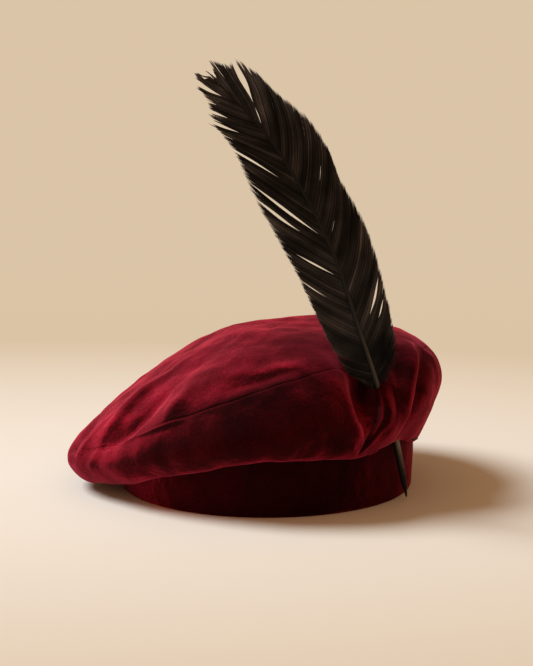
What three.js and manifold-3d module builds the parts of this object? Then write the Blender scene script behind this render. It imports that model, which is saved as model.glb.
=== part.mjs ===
// A soft velvet beret that is worn on the tilt, with one dark feather pushed through a pleat of its crown.
// The crown is two panels of lined velvet, sewn together round their edge and sewn to a plain velvet band.
// It stands on its band as it does on a table. X runs to its high side, Y to its back and Z up, in millimetres.
// Angles are degrees round the head, from the high side (0) over the back (90), the low side (180) and the front (270).

import * as THREE from "three";
import { mergeVertices } from "three/addons/utils/BufferGeometryUtils.js";
import Module from "manifold-3d";

const wasm = await Module();
wasm.setup();

// Driving dimensions
const CLOTH = 2.5; // lined velvet of the crown
const SEAM_GAP = 0.3; // between two pieces that are sewn to each other
const QUILL_CLEARANCE = 0.4; // round the quill where it goes through the cloth
const BAND = { halfWidth: 96, halfDepth: 89, height: 42, wall: 3, edge: 0.8, swell: 0.9 };
const POLE_HEIGHT = 105; // the crown's middle above the table
const TUCK = { inset: 2.6, turnOut: 1.8, lift: 0.4, drop: 0.5 }; // how the lower panel leaves the band's top edge

// The crown's outline at sections round the head: radius R and height Z of the lip that hangs over the band,
// of the belly, of the seam between the panels, and of the shoulder halfway in over the top.
const SECTIONS = [
  { angle: 0, lipR: 98, lipZ: 29.5, bellyR: 115.5, bellyZ: 70, seamR: 105.5, seamZ: 91.5, shoulderR: 62, shoulderZ: 105.5 },
  { angle: 45, lipR: 100, lipZ: 35, bellyR: 116, bellyZ: 67, seamR: 103, seamZ: 90, shoulderR: 60, shoulderZ: 104 },
  { angle: 90, lipR: 101, lipZ: 35, bellyR: 114, bellyZ: 56, seamR: 102, seamZ: 76, shoulderR: 58, shoulderZ: 98 },
  { angle: 135, lipR: 106, lipZ: 20, bellyR: 122, bellyZ: 37, seamR: 115, seamZ: 52, shoulderR: 62, shoulderZ: 89 },
  { angle: 165, lipR: 113, lipZ: 8, bellyR: 127, bellyZ: 21, seamR: 124, seamZ: 31, shoulderR: 66, shoulderZ: 78 },
  { angle: 190, lipR: 117, lipZ: 5.2, bellyR: 131, bellyZ: 18.5, seamR: 127, seamZ: 28, shoulderR: 70, shoulderZ: 74.5 },
  { angle: 210, lipR: 107, lipZ: 12, bellyR: 120, bellyZ: 25, seamR: 112, seamZ: 38.5, shoulderR: 64, shoulderZ: 79.5 },
  { angle: 235, lipR: 100, lipZ: 25, bellyR: 110.5, bellyZ: 41, seamR: 101, seamZ: 60, shoulderR: 57, shoulderZ: 91 },
  { angle: 270, lipR: 99, lipZ: 38, bellyR: 107.5, bellyZ: 56, seamR: 91, seamZ: 82, shoulderR: 52, shoulderZ: 99.5 },
  { angle: 305, lipR: 98.5, lipZ: 37, bellyR: 107, bellyZ: 60, seamR: 90, seamZ: 95, shoulderR: 55, shoulderZ: 104 },
  { angle: 327, lipR: 98.5, lipZ: 40, bellyR: 108.5, bellyZ: 64, seamR: 95, seamZ: 98, shoulderR: 58, shoulderZ: 105 },
  { angle: 342, lipR: 98.3, lipZ: 34, bellyR: 111, bellyZ: 68, seamR: 99.5, seamZ: 96.5, shoulderR: 60, shoulderZ: 105.5 },
];

// Levels count the lines of a section: 0 the band's edge, 1 the turn, 2 lip, 3 belly, 4 seam, 5 shoulder, 6 middle.
const LEVEL = { seam: 4, middle: 6 };
const NORMAL_RANGE = { low: 0.06, high: 5.9 }; // the levels between which the cloth's normal is taken

// Pleats, folds and ridges. Each runs from a low level and angle to a high one, bowed sideways by bow degrees.
// depth is out of the cloth, or into it below zero, and deepest at the share peak of its run.
// left and right are its half-widths in degrees at its high end, pinch is how narrow its low end is,
// and steep is 2 for a soft fold and more for one with walls.
const FOLDS = [
  { name: "quill_pleat", low: 2.4, lowAngle: -54, high: 5, highAngle: -45.5, bow: -1.2,
    depth: -18, peak: 0.4, left: 14, right: 19, pinch: 0.06, steep: 3 },
  { name: "quill_cover", low: 2, lowAngle: -45, high: 3.6, highAngle: -43.5, bow: 0,
    depth: 3.4, peak: 0.5, left: 4.2, right: 4, pinch: 0.8, steep: 2 },
  { name: "side_valley", low: 2.1, lowAngle: -46, high: 4.4, highAngle: -32, bow: -1,
    depth: -4.2, peak: 0.6, left: 4, right: 4.5, pinch: 0.5, steep: 2 },
  { name: "side_ridge", low: 2.1, lowAngle: -41, high: 4.4, highAngle: -13, bow: -9,
    depth: 3.4, peak: 0.6, left: 4.2, right: 4.5, pinch: 0.6, steep: 2 },
  { name: "high_valley", low: 2.2, lowAngle: -39, high: 4.3, highAngle: -3, bow: -4,
    depth: -5.6, peak: 0.55, left: 6, right: 6.5, pinch: 0.4, steep: 2 },
  { name: "low_swell", low: 3.7, lowAngle: 230.5, high: 4.9, highAngle: 233, bow: 0,
    depth: 2, peak: 0.45, left: 6, right: 6, pinch: 0.9, steep: 2 },
  { name: "low_valley", low: 3.7, lowAngle: 210.5, high: 5.1, highAngle: 221, bow: 0,
    depth: -4, peak: 0.4, left: 6, right: 6.5, pinch: 0.8, steep: 2 },
  { name: "low_ridge", low: 3.8, lowAngle: 206, high: 5.5, highAngle: 190, bow: 0,
    depth: 3.2, peak: 0.4, left: 5.5, right: 4.5, pinch: 0.9, steep: 2 },
  { name: "nose_valley", low: 3.3, lowAngle: 191, high: 4.8, highAngle: 183, bow: 0,
    depth: -2.2, peak: 0.45, left: 5, right: 4.5, pinch: 0.9, steep: 2 },
  { name: "back_valley", low: 2.2, lowAngle: 62, high: 4.9, highAngle: 72, bow: 0,
    depth: -6, peak: 0.45, left: 12, right: 10, pinch: 0.7, steep: 2 },
  { name: "back_ridge", low: 2.2, lowAngle: 98, high: 4.8, highAngle: 108, bow: 3,
    depth: 3.5, peak: 0.5, left: 11, right: 10, pinch: 0.8, steep: 2 },
  { name: "back_low_valley", low: 2.2, lowAngle: 126, high: 4.8, highAngle: 132, bow: 2,
    depth: -4.5, peak: 0.45, left: 10, right: 10, pinch: 0.8, steep: 2 },
];

const DENT_FADE = 0.4; // levels above the seam over which the dents begin
// Soft dents of the top, as long ovals seen from above: middle, half-length, half-width, heading and depth.
const DENTS = [
  { name: "top_crease", x: 22, y: 22, length: 34, width: 9, heading: 6, depth: -2.2 },
  { name: "slope_hollow", x: -52, y: -34, length: 30, width: 12, heading: -32, depth: -2.4 },
  { name: "slope_swell", x: -6, y: -58, length: 34, width: 13, heading: 8, depth: 2.2 },
];

// How finely the cloth is faceted: steps up to each angle, and the levels of each panel.
const FIRST_ANGLE = -64;
const COLUMNS = [
  { upTo: -36, steps: 16 },
  { upTo: 0, steps: 11 },
  { upTo: 160, steps: 20 },
  { upTo: 212, steps: 15 },
  { upTo: 296, steps: 12 },
];
const SIDE_LEVELS = [0, 0.6, 1, 1.5, 2, 2.25, 2.5, 2.75, 3, 3.25, 3.5, 3.75, 4];
const TOP_LEVELS = [4, 4.2, 4.4, 4.6, 4.8, 5.05, 5.35, 5.7];

// The feather's shaft from its cut point to its tip: the middle line and the radius.
const SHAFT = [
  { x: 89.4, y: -47, z: 2.2, radius: 0.5 },
  { x: 87.6, y: -48.6, z: 12, radius: 1.5 },
  { x: 81, y: -54, z: 42.5, radius: 1.9 },
  { x: 75.4, y: -58, z: 60, radius: 1.9 },
  { x: 69.4, y: -62.5, z: 76.6, radius: 1.8 },
  { x: 62.9, y: -68, z: 97, radius: 1.6 },
  { x: 56.4, y: -72, z: 116.2, radius: 1.45 },
  { x: 48.6, y: -75.5, z: 140.2, radius: 1.25 },
  { x: 40.3, y: -77, z: 163.6, radius: 1.1 },
  { x: 25.2, y: -76.5, z: 194.7, radius: 0.95 },
  { x: 3.7, y: -73, z: 229.5, radius: 0.8 },
  { x: -13.7, y: -69.5, z: 249.5, radius: 0.7 },
  { x: -28.5, y: -66, z: 264.3, radius: 0.6 },
];
const BARE_QUILL = 80; // length of the shaft from its cut point to the lowest barbs
const SHAFT_STEPS = 30;
const QUILL_WAY = { past: 8, steps: 24 }; // how far past the lowest barbs the cloth is kept clear of the quill
const VANE_THICKNESS = 1.1;
const VANE_LIE = { leftAtCloth: 34, rightAtCloth: 0, above: 14, settled: 60 }; // degrees the vane turns from the front
const VANE_CURL = 3.5; // how far the edges of the vane bend back where it is WIDE
const VANE_WIDE = 28;

// Where barbs end: a barb that grows root above the lowest one ends at end, measured the same way, and off to its side.
const LEFT_BARBS = [
  { root: 0, end: 9, off: 10 },
  { root: 4, end: 17, off: 16 },
  { root: 12, end: 31, off: 19 },
  { root: 28, end: 54, off: 22 },
  { root: 51, end: 80, off: 24.7 },
  { root: 71, end: 106, off: 27 },
  { root: 88, end: 137, off: 28 },
  { root: 97, end: 155, off: 26.2 },
  { root: 137, end: 183, off: 21 },
  { root: 163, end: 198, off: 20 },
  { root: 176, end: 205, off: 16.5 },
  { root: 190, end: 217, off: 11.5 },
  { root: 206, end: 225, off: 8.5 },
  { root: 219, end: 229, off: 2 },
];
const RIGHT_BARBS = [
  { root: 0, end: 8, off: 5.5 },
  { root: 3, end: 19, off: 17 },
  { root: 8, end: 28, off: 20 },
  { root: 20, end: 47, off: 23 },
  { root: 35, end: 72, off: 25 },
  { root: 60, end: 100, off: 26.6 },
  { root: 90, end: 129, off: 25 },
  { root: 108, end: 147, off: 29 },
  { root: 125, end: 166, off: 29.5 },
  { root: 150, end: 189, off: 24.5 },
  { root: 164, end: 208, off: 24.4 },
  { root: 176, end: 223, off: 17.5 },
  { root: 188, end: 228, off: 9 },
  { root: 219, end: 230, off: 0 },
];

// Locks of barbs that hold together, from root to root. openLow and openHigh are how far its lower and upper edge
// stand back from the next lock at the vane's edge.
const LOCKS = [
  { side: -1, from: 0, to: 28, openLow: 0, openHigh: 0 },
  { side: -1, from: 28, to: 52, openLow: 0, openHigh: 1.5 },
  { side: -1, from: 52, to: 71, openLow: 0, openHigh: 0 },
  { side: -1, from: 71, to: 88, openLow: 0, openHigh: 2.5 },
  { side: -1, from: 88, to: 97, openLow: 0, openHigh: 2.2 },
  { side: -1, from: 97, to: 137, openLow: 2.2, openHigh: 2.5 },
  { side: -1, from: 137, to: 163, openLow: 4, openHigh: 4 },
  { side: -1, from: 163, to: 177, openLow: 0, openHigh: 4 },
  { side: -1, from: 177, to: 192, openLow: 2, openHigh: 4 },
  { side: -1, from: 192, to: 206, openLow: 3, openHigh: 5 },
  { side: -1, from: 206, to: 219, openLow: 3, openHigh: 0 },
  { side: 1, from: 0, to: 10, openLow: 0, openHigh: 2 },
  { side: 1, from: 10, to: 26, openLow: 2, openHigh: 1.5 },
  { side: 1, from: 26, to: 35, openLow: 1.5, openHigh: 2.5 },
  { side: 1, from: 35, to: 62, openLow: 1, openHigh: 0 },
  { side: 1, from: 62, to: 92, openLow: 0, openHigh: 1.5 },
  { side: 1, from: 92, to: 108, openLow: 0, openHigh: 0 },
  { side: 1, from: 108, to: 125, openLow: 0, openHigh: 0 },
  { side: 1, from: 125, to: 152, openLow: 0, openHigh: 1.5 },
  { side: 1, from: 152, to: 164, openLow: 0, openHigh: 0 },
  { side: 1, from: 164, to: 178, openLow: 0, openHigh: 2 },
  { side: 1, from: 178, to: 219, openLow: 3, openHigh: 0 },
];

const COLOURS = { velvet: 0x5c0a18, band: 0x480712, quill: 0x2a2622 };

const radians = THREE.MathUtils.degToRad;

// A column of a table of sections at any angle, by a smooth curve through its rows that closes on itself.
function around(table, column, angle) {
  const count = table.length;
  const turned = THREE.MathUtils.euclideanModulo(angle, 360);
  let i = table.findIndex((row, k) => turned >= row.angle && (k === count - 1 || turned < table[k + 1].angle));
  if (i < 0) i = count - 1;
  const at = (k) => {
    const wrapped = THREE.MathUtils.euclideanModulo(k, count);
    return { a: table[wrapped].angle + 360 * Math.floor(k / count), v: table[wrapped][column] };
  };
  const [p0, p1, p2, p3] = [at(i - 1), at(i), at(i + 1), at(i + 2)];
  const span = p2.a - p1.a;
  const t = (turned - p1.a) / span;
  const m1 = ((p2.v - p0.v) / (p2.a - p0.a)) * span;
  const m2 = ((p3.v - p1.v) / (p3.a - p1.a)) * span;
  const [t2, t3] = [t * t, t * t * t];
  return (2 * t3 - 3 * t2 + 1) * p1.v + (t3 - 2 * t2 + t) * m1 + (3 * t2 - 2 * t3) * p2.v + (t3 - t2) * m2;
}

function bandRadius(angle) {
  const a = radians(angle);
  return (BAND.halfWidth * BAND.halfDepth) / Math.hypot(BAND.halfDepth * Math.cos(a), BAND.halfWidth * Math.sin(a));
}

// The section's curve at one angle, through its seven lines and on over the middle to the far shoulder.
const sectionCurves = new Map();
function sectionCurve(angle) {
  if (!sectionCurves.has(angle)) {
    const get = (column) => around(SECTIONS, column, angle);
    const band = bandRadius(angle);
    const points = [
      [band - TUCK.inset, BAND.height + TUCK.lift],
      [band + TUCK.turnOut, BAND.height + TUCK.lift - TUCK.drop],
      [get("lipR"), get("lipZ")],
      [get("bellyR"), get("bellyZ")],
      [get("seamR"), get("seamZ")],
      [get("shoulderR"), get("shoulderZ")],
      [0, POLE_HEIGHT],
      [-get("shoulderR"), get("shoulderZ")],
    ];
    sectionCurves.set(angle, new THREE.CatmullRomCurve3(points.map(([r, z]) => new THREE.Vector3(r, 0, z))));
  }
  return sectionCurves.get(angle);
}
const CURVE_SPANS = 7;

// The smooth crown without its folds.
function smoothCrown(angle, level) {
  const p = sectionCurve(angle).getPoint(level / CURVE_SPANS);
  return new THREE.Vector3(p.x * Math.cos(radians(angle)), p.x * Math.sin(radians(angle)), p.z);
}

function unitNormal(surface, angle, level) {
  const [da, dl] = [1.2, 0.05];
  const along = surface(angle + da, level).sub(surface(angle - da, level));
  const up = surface(angle, level + dl).sub(surface(angle, level - dl));
  return along.cross(up).normalize();
}

const smoothStep = (low, high, x) => THREE.MathUtils.smoothstep(x, low, high);

// How far the folds and dents carry the cloth out of the smooth crown.
function foldHeight(angle, level, point) {
  let height = 0;
  for (const f of FOLDS) {
    if (level <= f.low || level >= f.high) continue;
    const t = (level - f.low) / (f.high - f.low);
    const centre = f.lowAngle + (f.highAngle - f.lowAngle) * t + f.bow * Math.sin(Math.PI * t);
    const off = THREE.MathUtils.euclideanModulo(angle - centre + 180, 360) - 180;
    const width = (off < 0 ? f.left : f.right) * (f.pinch + (1 - f.pinch) * t);
    const rise = smoothStep(0, f.peak, t) * (1 - smoothStep(f.peak, 1, t));
    height += f.depth * rise * Math.exp(-(Math.abs(off / width) ** f.steep));
  }
  if (level > LEVEL.seam) {
    for (const d of DENTS) {
      const h = radians(d.heading);
      const [dx, dy] = [point.x - d.x, point.y - d.y];
      const along = (dx * Math.cos(h) + dy * Math.sin(h)) / d.length;
      const across = (dy * Math.cos(h) - dx * Math.sin(h)) / d.width;
      const clear = smoothStep(LEVEL.seam, LEVEL.seam + DENT_FADE, level);
      height += d.depth * clear * Math.exp(-(along * along + across * across));
    }
  }
  return height;
}

// The crown's outer face.
function crown(angle, level) {
  const p = smoothCrown(angle, level);
  const height = foldHeight(angle, level, p);
  return height ? p.addScaledVector(unitNormal(smoothCrown, angle, Math.min(level, NORMAL_RANGE.high)), height) : p;
}

function columnAngles() {
  const angles = [];
  let from = FIRST_ANGLE;
  for (const { upTo, steps } of COLUMNS) {
    for (let k = 0; k < steps; k++) angles.push(from + ((upTo - from) * k) / steps);
    from = upTo;
  }
  return angles;
}

// Joins rings of points into faces: each ring is an array of Vector3, and all have one length.
class Skin {
  constructor() {
    this.points = [];
    this.faces = [];
  }
  ring(points) {
    const start = this.points.length;
    this.points.push(...points);
    return points.map((_, k) => start + k);
  }
  // Faces between two rings of the same length; flip turns them over without moving their diagonals.
  bridge(a, b, flip = false) {
    a.forEach((_, k) => {
      const n = (k + 1) % a.length;
      this.faces.push(...(flip ? [a[k], b[n], a[n], a[k], b[k], b[n]] : [a[k], a[n], b[n], a[k], b[n], b[k]]));
    });
  }
  cap(ring, tip, flip = false) {
    ring.forEach((_, k) => {
      const n = (k + 1) % ring.length;
      this.faces.push(...(flip ? [ring[n], ring[k], tip] : [ring[k], ring[n], tip]));
    });
  }
  geometry() {
    const g = new THREE.BufferGeometry();
    g.setAttribute("position", new THREE.Float32BufferAttribute(this.points.flatMap((p) => p.toArray()), 3));
    g.setIndex(this.faces);
    return g;
  }
}

// One panel of the crown as a closed wall: the outer face, and the lining side at CLOTH behind it.
// fromGap and toGap move its first and last rows back along the cloth for the sewing gap.
function panel(levels, fromGap, toGap, middle) {
  const skin = new Skin();
  const angles = columnAngles();
  const row = (level, shift) =>
    angles.map((angle) => {
      const outer = crown(angle, level);
      const normal = unitNormal(crown, angle, THREE.MathUtils.clamp(level, NORMAL_RANGE.low, NORMAL_RANGE.high));
      if (shift) {
        const near = 0.02;
        const step = crown(angle, level + near).sub(crown(angle, level - near)).normalize();
        outer.addScaledVector(step, shift);
      }
      return { outer, inner: outer.clone().addScaledVector(normal, -CLOTH) };
    });
  const rows = levels.map((level, k) => row(level, k === 0 ? fromGap : k === levels.length - 1 ? -toGap : 0));
  const outer = rows.map((r) => skin.ring(r.map((p) => p.outer)));
  const inner = rows.map((r) => skin.ring(r.map((p) => p.inner)));
  for (let k = 0; k + 1 < rows.length; k++) {
    skin.bridge(outer[k], outer[k + 1]);
    skin.bridge(inner[k + 1], inner[k]);
  }
  skin.bridge(outer[0], inner[0], true);
  if (middle) {
    const [top] = skin.ring([crown(0, LEVEL.middle)]);
    const [under] = skin.ring([crown(0, LEVEL.middle).add(new THREE.Vector3(0, 0, -CLOTH))]);
    skin.cap(outer.at(-1), top);
    skin.cap(inner.at(-1), under, true);
  } else {
    skin.bridge(outer.at(-1), inner.at(-1));
  }
  return skin.geometry();
}

// The band: an oval ring with eased edges, slightly swollen at half its height.
function bandGeometry() {
  const skin = new Skin();
  const steps = 48;
  const profile = [
    { out: 0, z: BAND.edge },
    { out: BAND.swell, z: BAND.height / 2 },
    { out: 0, z: BAND.height - BAND.edge },
    { out: -BAND.edge, z: BAND.height },
    { out: -BAND.wall, z: BAND.height },
    { out: -BAND.wall + BAND.swell, z: BAND.height / 2 },
    { out: -BAND.wall, z: 0 },
    { out: -BAND.edge, z: 0 },
  ];
  const rings = profile.map(({ out, z }) =>
    skin.ring(
      Array.from({ length: steps }, (_, k) => {
        const a = (2 * Math.PI * k) / steps;
        return new THREE.Vector3((BAND.halfWidth + out) * Math.cos(a), (BAND.halfDepth + out) * Math.sin(a), z);
      }),
    ),
  );
  rings.forEach((ring, k) => skin.bridge(ring, rings[(k + 1) % rings.length]));
  return skin.geometry();
}

const shaftCurve = new THREE.CatmullRomCurve3(SHAFT.map((s) => new THREE.Vector3(s.x, s.y, s.z)));
shaftCurve.arcLengthDivisions = 600;
const shaftLength = shaftCurve.getLength();
const shaftTangent = (at) => shaftCurve.getTangentAt(THREE.MathUtils.clamp(at / shaftLength, 0, 1));

// The shaft's middle line at a length from its cut point, and straight on beyond its tip.
function shaftPoint(at) {
  const beyond = Math.max(0, at - shaftLength);
  return shaftCurve.getPointAt(Math.min(1, at / shaftLength)).addScaledVector(shaftTangent(at), beyond);
}

function shaftRadius(at) {
  const station = shaftCurve.getUtoTmapping(Math.min(1, at / shaftLength)) * (SHAFT.length - 1);
  const k = Math.min(Math.floor(station), SHAFT.length - 2);
  return THREE.MathUtils.lerp(SHAFT[k].radius, SHAFT[k + 1].radius, station - k);
}

// The way across the shaft in which the vane of one side lies.
function vaneSide(at, side) {
  const settled = smoothStep(0, VANE_LIE.settled, at - BARE_QUILL);
  const start = side < 0 ? VANE_LIE.leftAtCloth : VANE_LIE.rightAtCloth;
  const turn = radians(THREE.MathUtils.lerp(start, VANE_LIE.above, settled));
  const across = new THREE.Vector3(Math.cos(turn), Math.sin(turn), 0);
  const tangent = shaftTangent(at);
  return across.addScaledVector(tangent, -across.dot(tangent)).normalize();
}

// A tapered tube along the shaft, widened by extra all round.
function shaftGeometry(from, to, steps, extra) {
  const sides = 6;
  const skin = new Skin();
  const rings = [];
  for (let k = 0; k <= steps; k++) {
    const at = from + ((to - from) * k) / steps;
    const side = vaneSide(at, 1);
    const face = new THREE.Vector3().crossVectors(shaftTangent(at), side);
    const radius = shaftRadius(at) + extra;
    rings.push(
      skin.ring(
        Array.from({ length: sides }, (_, i) => {
          const a = (2 * Math.PI * (i + 0.5)) / sides;
          return shaftPoint(at)
            .addScaledVector(side, radius * Math.cos(a))
            .addScaledVector(face, radius * Math.sin(a));
        }),
      ),
    );
  }
  rings.slice(1).forEach((ring, k) => skin.bridge(rings[k], ring));
  const [start, end] = skin.ring([shaftPoint(from), shaftPoint(to)]);
  skin.cap(rings[0], start, true);
  skin.cap(rings.at(-1), end);
  return skin.geometry();
}

// A column of a table of barbs at any root, straight between its rows.
function barbValue(table, column, root) {
  const above = table.findIndex((row) => row.root > root);
  const k = above < 0 ? table.length - 1 : Math.max(1, above);
  const [low, high] = [table[k - 1], table[k]];
  return THREE.MathUtils.mapLinear(root, low.root, high.root, low[column], high[column]);
}

// A point of the barb that grows at root, u of the way to its end. Barbs leave the shaft steeply and bend to its tip.
const BARB_BEND = 0.3;
function barbPoint(side, root, u) {
  const table = side < 0 ? LEFT_BARBS : RIGHT_BARBS;
  const end = barbValue(table, "end", root);
  const off = barbValue(table, "off", root) * u * (1 + BARB_BEND - BARB_BEND * u);
  const at = BARE_QUILL + THREE.MathUtils.lerp(root, end, u);
  const across = vaneSide(at, side);
  const back = new THREE.Vector3().crossVectors(across, shaftTangent(at)).multiplyScalar(-1);
  return shaftPoint(at)
    .addScaledVector(across, side * off)
    .addScaledVector(back, VANE_CURL * (off / VANE_WIDE) ** 2);
}

// A lock of barbs: a thin leaf between its lowest and its highest barb.
const LOCK_STEPS = 6;
const LOCK_OVERLAP = 0.4;
function lockGeometry(lock) {
  const skin = new Skin();
  const rings = [];
  for (let k = 0; k <= LOCK_STEPS; k++) {
    const u = k / LOCK_STEPS;
    const open = smoothStep(0.1, 1, u);
    const low = barbPoint(lock.side, lock.from + lock.openLow * open - (lock.openLow ? 0 : LOCK_OVERLAP), u);
    const high = barbPoint(lock.side, lock.to - lock.openHigh * open + LOCK_OVERLAP, u);
    const across = vaneSide(BARE_QUILL + lock.from, lock.side);
    const face = new THREE.Vector3().crossVectors(shaftTangent(BARE_QUILL + lock.from), across);
    face.multiplyScalar(VANE_THICKNESS / 2);
    const corners = [low.clone().add(face), high.clone().add(face), high.sub(face), low.sub(face)];
    rings.push(skin.ring(lock.side > 0 ? corners : corners.reverse()));
  }
  rings.slice(1).forEach((ring, k) => skin.bridge(rings[k], ring));
  const middleOf = (ring) => ring.reduce((sum, i) => sum.add(skin.points[i]), new THREE.Vector3()).divideScalar(4);
  const [root, end] = skin.ring([middleOf(rings[0]), middleOf(rings.at(-1))]);
  skin.cap(rings[0], root, true);
  skin.cap(rings.at(-1), end);
  return skin.geometry();
}

// Turns a closed geometry into a solid for joining and cutting, and back.
function toSolid(geometry) {
  const bare = new THREE.BufferGeometry();
  bare.setAttribute("position", geometry.getAttribute("position"));
  bare.setIndex(geometry.index);
  const merged = mergeVertices(bare, 1e-4);
  const made = new wasm.Manifold(
    new wasm.Mesh({
      numProp: 3,
      vertProperties: merged.attributes.position.array,
      triVerts: new Uint32Array(merged.index.array),
    }),
  );
  if (made.volume() < 0) throw new Error("a face points inwards");
  return made;
}

function toGeometry(solid) {
  const mesh = solid.getMesh();
  const g = new THREE.BufferGeometry();
  g.setAttribute("position", new THREE.Float32BufferAttribute(mesh.vertProperties, 3));
  g.setIndex(new THREE.BufferAttribute(mesh.triVerts, 1));
  return g;
}

function crownSide() {
  const wall = toSolid(panel(SIDE_LEVELS, 0, SEAM_GAP / 2, false));
  const way = toSolid(shaftGeometry(0, BARE_QUILL + QUILL_WAY.past, QUILL_WAY.steps, QUILL_CLEARANCE));
  return toGeometry(wall.subtract(way));
}

function crownTop() {
  return panel(TOP_LEVELS, SEAM_GAP / 2, 0, true);
}

function featherGeometry() {
  let whole = toSolid(shaftGeometry(0, shaftLength, SHAFT_STEPS, 0));
  for (const lock of LOCKS) whole = whole.add(toSolid(lockGeometry(lock)));
  return toGeometry(whole);
}

const velvet = new THREE.MeshStandardMaterial({ color: COLOURS.velvet, roughness: 0.95, metalness: 0 });
const bandVelvet = new THREE.MeshStandardMaterial({ color: COLOURS.band, roughness: 0.95, metalness: 0 });
const horn = new THREE.MeshStandardMaterial({ color: COLOURS.quill, roughness: 0.5, metalness: 0 });

function piece(name, geometry, material) {
  const mesh = new THREE.Mesh(geometry, material);
  mesh.name = name;
  return mesh;
}

const hat = new THREE.Group();
hat.add(
  piece("headband", bandGeometry(), bandVelvet),
  piece("crown_side_panel", crownSide(), velvet),
  piece("crown_top_panel", crownTop(), velvet),
  piece("feather", featherGeometry(), horn),
);

// The part's origin is under the middle of its box, on the table.
const box = new THREE.Box3().setFromObject(hat);
const middle = box.getCenter(new THREE.Vector3());
hat.position.set(-middle.x, -middle.y, -box.min.z);

const part = new THREE.Group();
part.add(hat);

export default part;
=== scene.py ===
# %% [markdown]
# # A velvet beret with one dark feather
#
# The real thing is a soft beret of burgundy cotton velvet. Its crown is two panels, sewn together round
# their edge and gathered into a plain band, and it hangs low to one side. One black-brown feather is pushed
# through a pleat of the crown. This lesson dresses its solid model: the solids say where everything is and
# how big it is, and Blender adds the cloth's folds, the pile, the barbs and the light.
#
# The solids could be given materials as they are. They are coarse, though, so every one of them is replaced
# by a finer mesh, worked out by the same functions from the same short tables, with the finest folds added.

# %% Load the solid model
import math

import bpy
import numpy as np
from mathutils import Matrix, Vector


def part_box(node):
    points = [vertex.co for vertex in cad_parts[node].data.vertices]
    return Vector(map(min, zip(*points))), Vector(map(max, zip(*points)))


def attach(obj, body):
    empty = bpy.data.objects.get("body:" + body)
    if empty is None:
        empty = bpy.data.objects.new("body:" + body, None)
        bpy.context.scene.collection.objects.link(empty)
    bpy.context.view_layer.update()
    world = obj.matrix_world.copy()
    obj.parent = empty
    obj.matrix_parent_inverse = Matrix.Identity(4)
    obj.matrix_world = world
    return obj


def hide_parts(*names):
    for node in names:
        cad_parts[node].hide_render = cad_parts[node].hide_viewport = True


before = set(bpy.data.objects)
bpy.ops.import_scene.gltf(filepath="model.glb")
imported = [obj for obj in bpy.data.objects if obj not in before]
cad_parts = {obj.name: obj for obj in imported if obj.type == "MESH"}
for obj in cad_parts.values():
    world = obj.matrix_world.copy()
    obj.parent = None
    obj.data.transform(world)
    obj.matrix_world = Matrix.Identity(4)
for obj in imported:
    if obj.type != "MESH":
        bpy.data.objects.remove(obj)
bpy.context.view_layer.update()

band_low, band_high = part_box("headband")
MM = 0.001
BAND_MIDDLE = np.array([(band_low[0] + band_high[0]) / 2, (band_low[1] + band_high[1]) / 2, 0.0])

# %% [markdown]
# ## The camera
#
# The photo was taken with a long lens from a little above the hat. The camera is set by its real place: its
# distance from the middle of the band, how many degrees it stands above it, and how many it looks down. A
# camera could also be made to track an empty, but then its tilt would change whenever the empty moved.

# %% Camera
CAMERA = {"distance": 1.150, "raised": 15.3, "looks_down": 10.4, "lens": 92.8}


def make_camera():
    data = bpy.data.cameras.new("camera")
    data.lens = CAMERA["lens"]
    data.sensor_width = 36
    camera = bpy.data.objects.new("camera", data)
    bpy.context.collection.objects.link(camera)
    raised = math.radians(CAMERA["raised"])
    back = np.array([0, -math.cos(raised), math.sin(raised)])
    camera.location = BAND_MIDDLE + CAMERA["distance"] * back
    camera.rotation_euler = (math.radians(90 - CAMERA["looks_down"]), 0, 0)
    bpy.context.scene.camera = camera
    return camera


camera = make_camera()
print("camera at", [round(v, 3) for v in camera.location])

# %% [markdown]
# ## Meshes from points
#
# Each piece below is worked out with numpy as rows of points in millimetres, in the hat's own frame: its
# middle is the middle of the band, on the floor. One helper turns such points into an object in metres.
# Building meshes from plain arrays is quick even with a hundred thousand faces, which bmesh would take long
# over. A second helper gives a mesh a number at each of its points, such as how light the cloth is there. A
# material can read such numbers, so they stay in place on the cloth and need no picture.

# %% Mesh helpers
def make_piece(name, points, faces, materials, second_from=None):
    """A new object. Faces from number second_from on take the second material."""
    mesh = bpy.data.meshes.new(name)
    mesh.from_pydata((np.asarray(points) * MM + BAND_MIDDLE).tolist(), [], faces)
    for material in materials:
        mesh.materials.append(material)
    slots = np.zeros(len(mesh.polygons), dtype=np.int32)
    if second_from is not None:
        slots[second_from:] = 1
    mesh.polygons.foreach_set("material_index", slots)
    mesh.shade_smooth()
    mesh.update()
    piece = bpy.data.objects.new(name, mesh)
    bpy.context.collection.objects.link(piece)
    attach(piece, "root")
    print(name, "has", len(mesh.polygons), "faces")
    return piece


def give_numbers(piece, name, values):
    """A number at each point of the mesh, which a material can read by its name."""
    layer = piece.data.attributes.new(name, "FLOAT", "POINT")
    layer.data.foreach_set("value", np.asarray(values, dtype=np.float32).ravel())


def smooth_step(low, high, x):
    """0 up to low and 1 from high on, with a smooth rise between them."""
    share = np.clip((np.asarray(x, dtype=float) - low) / (high - low), 0, 1)
    return share * share * (3 - 2 * share)


print("middle of the band, metres:", BAND_MIDDLE.round(4))

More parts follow.
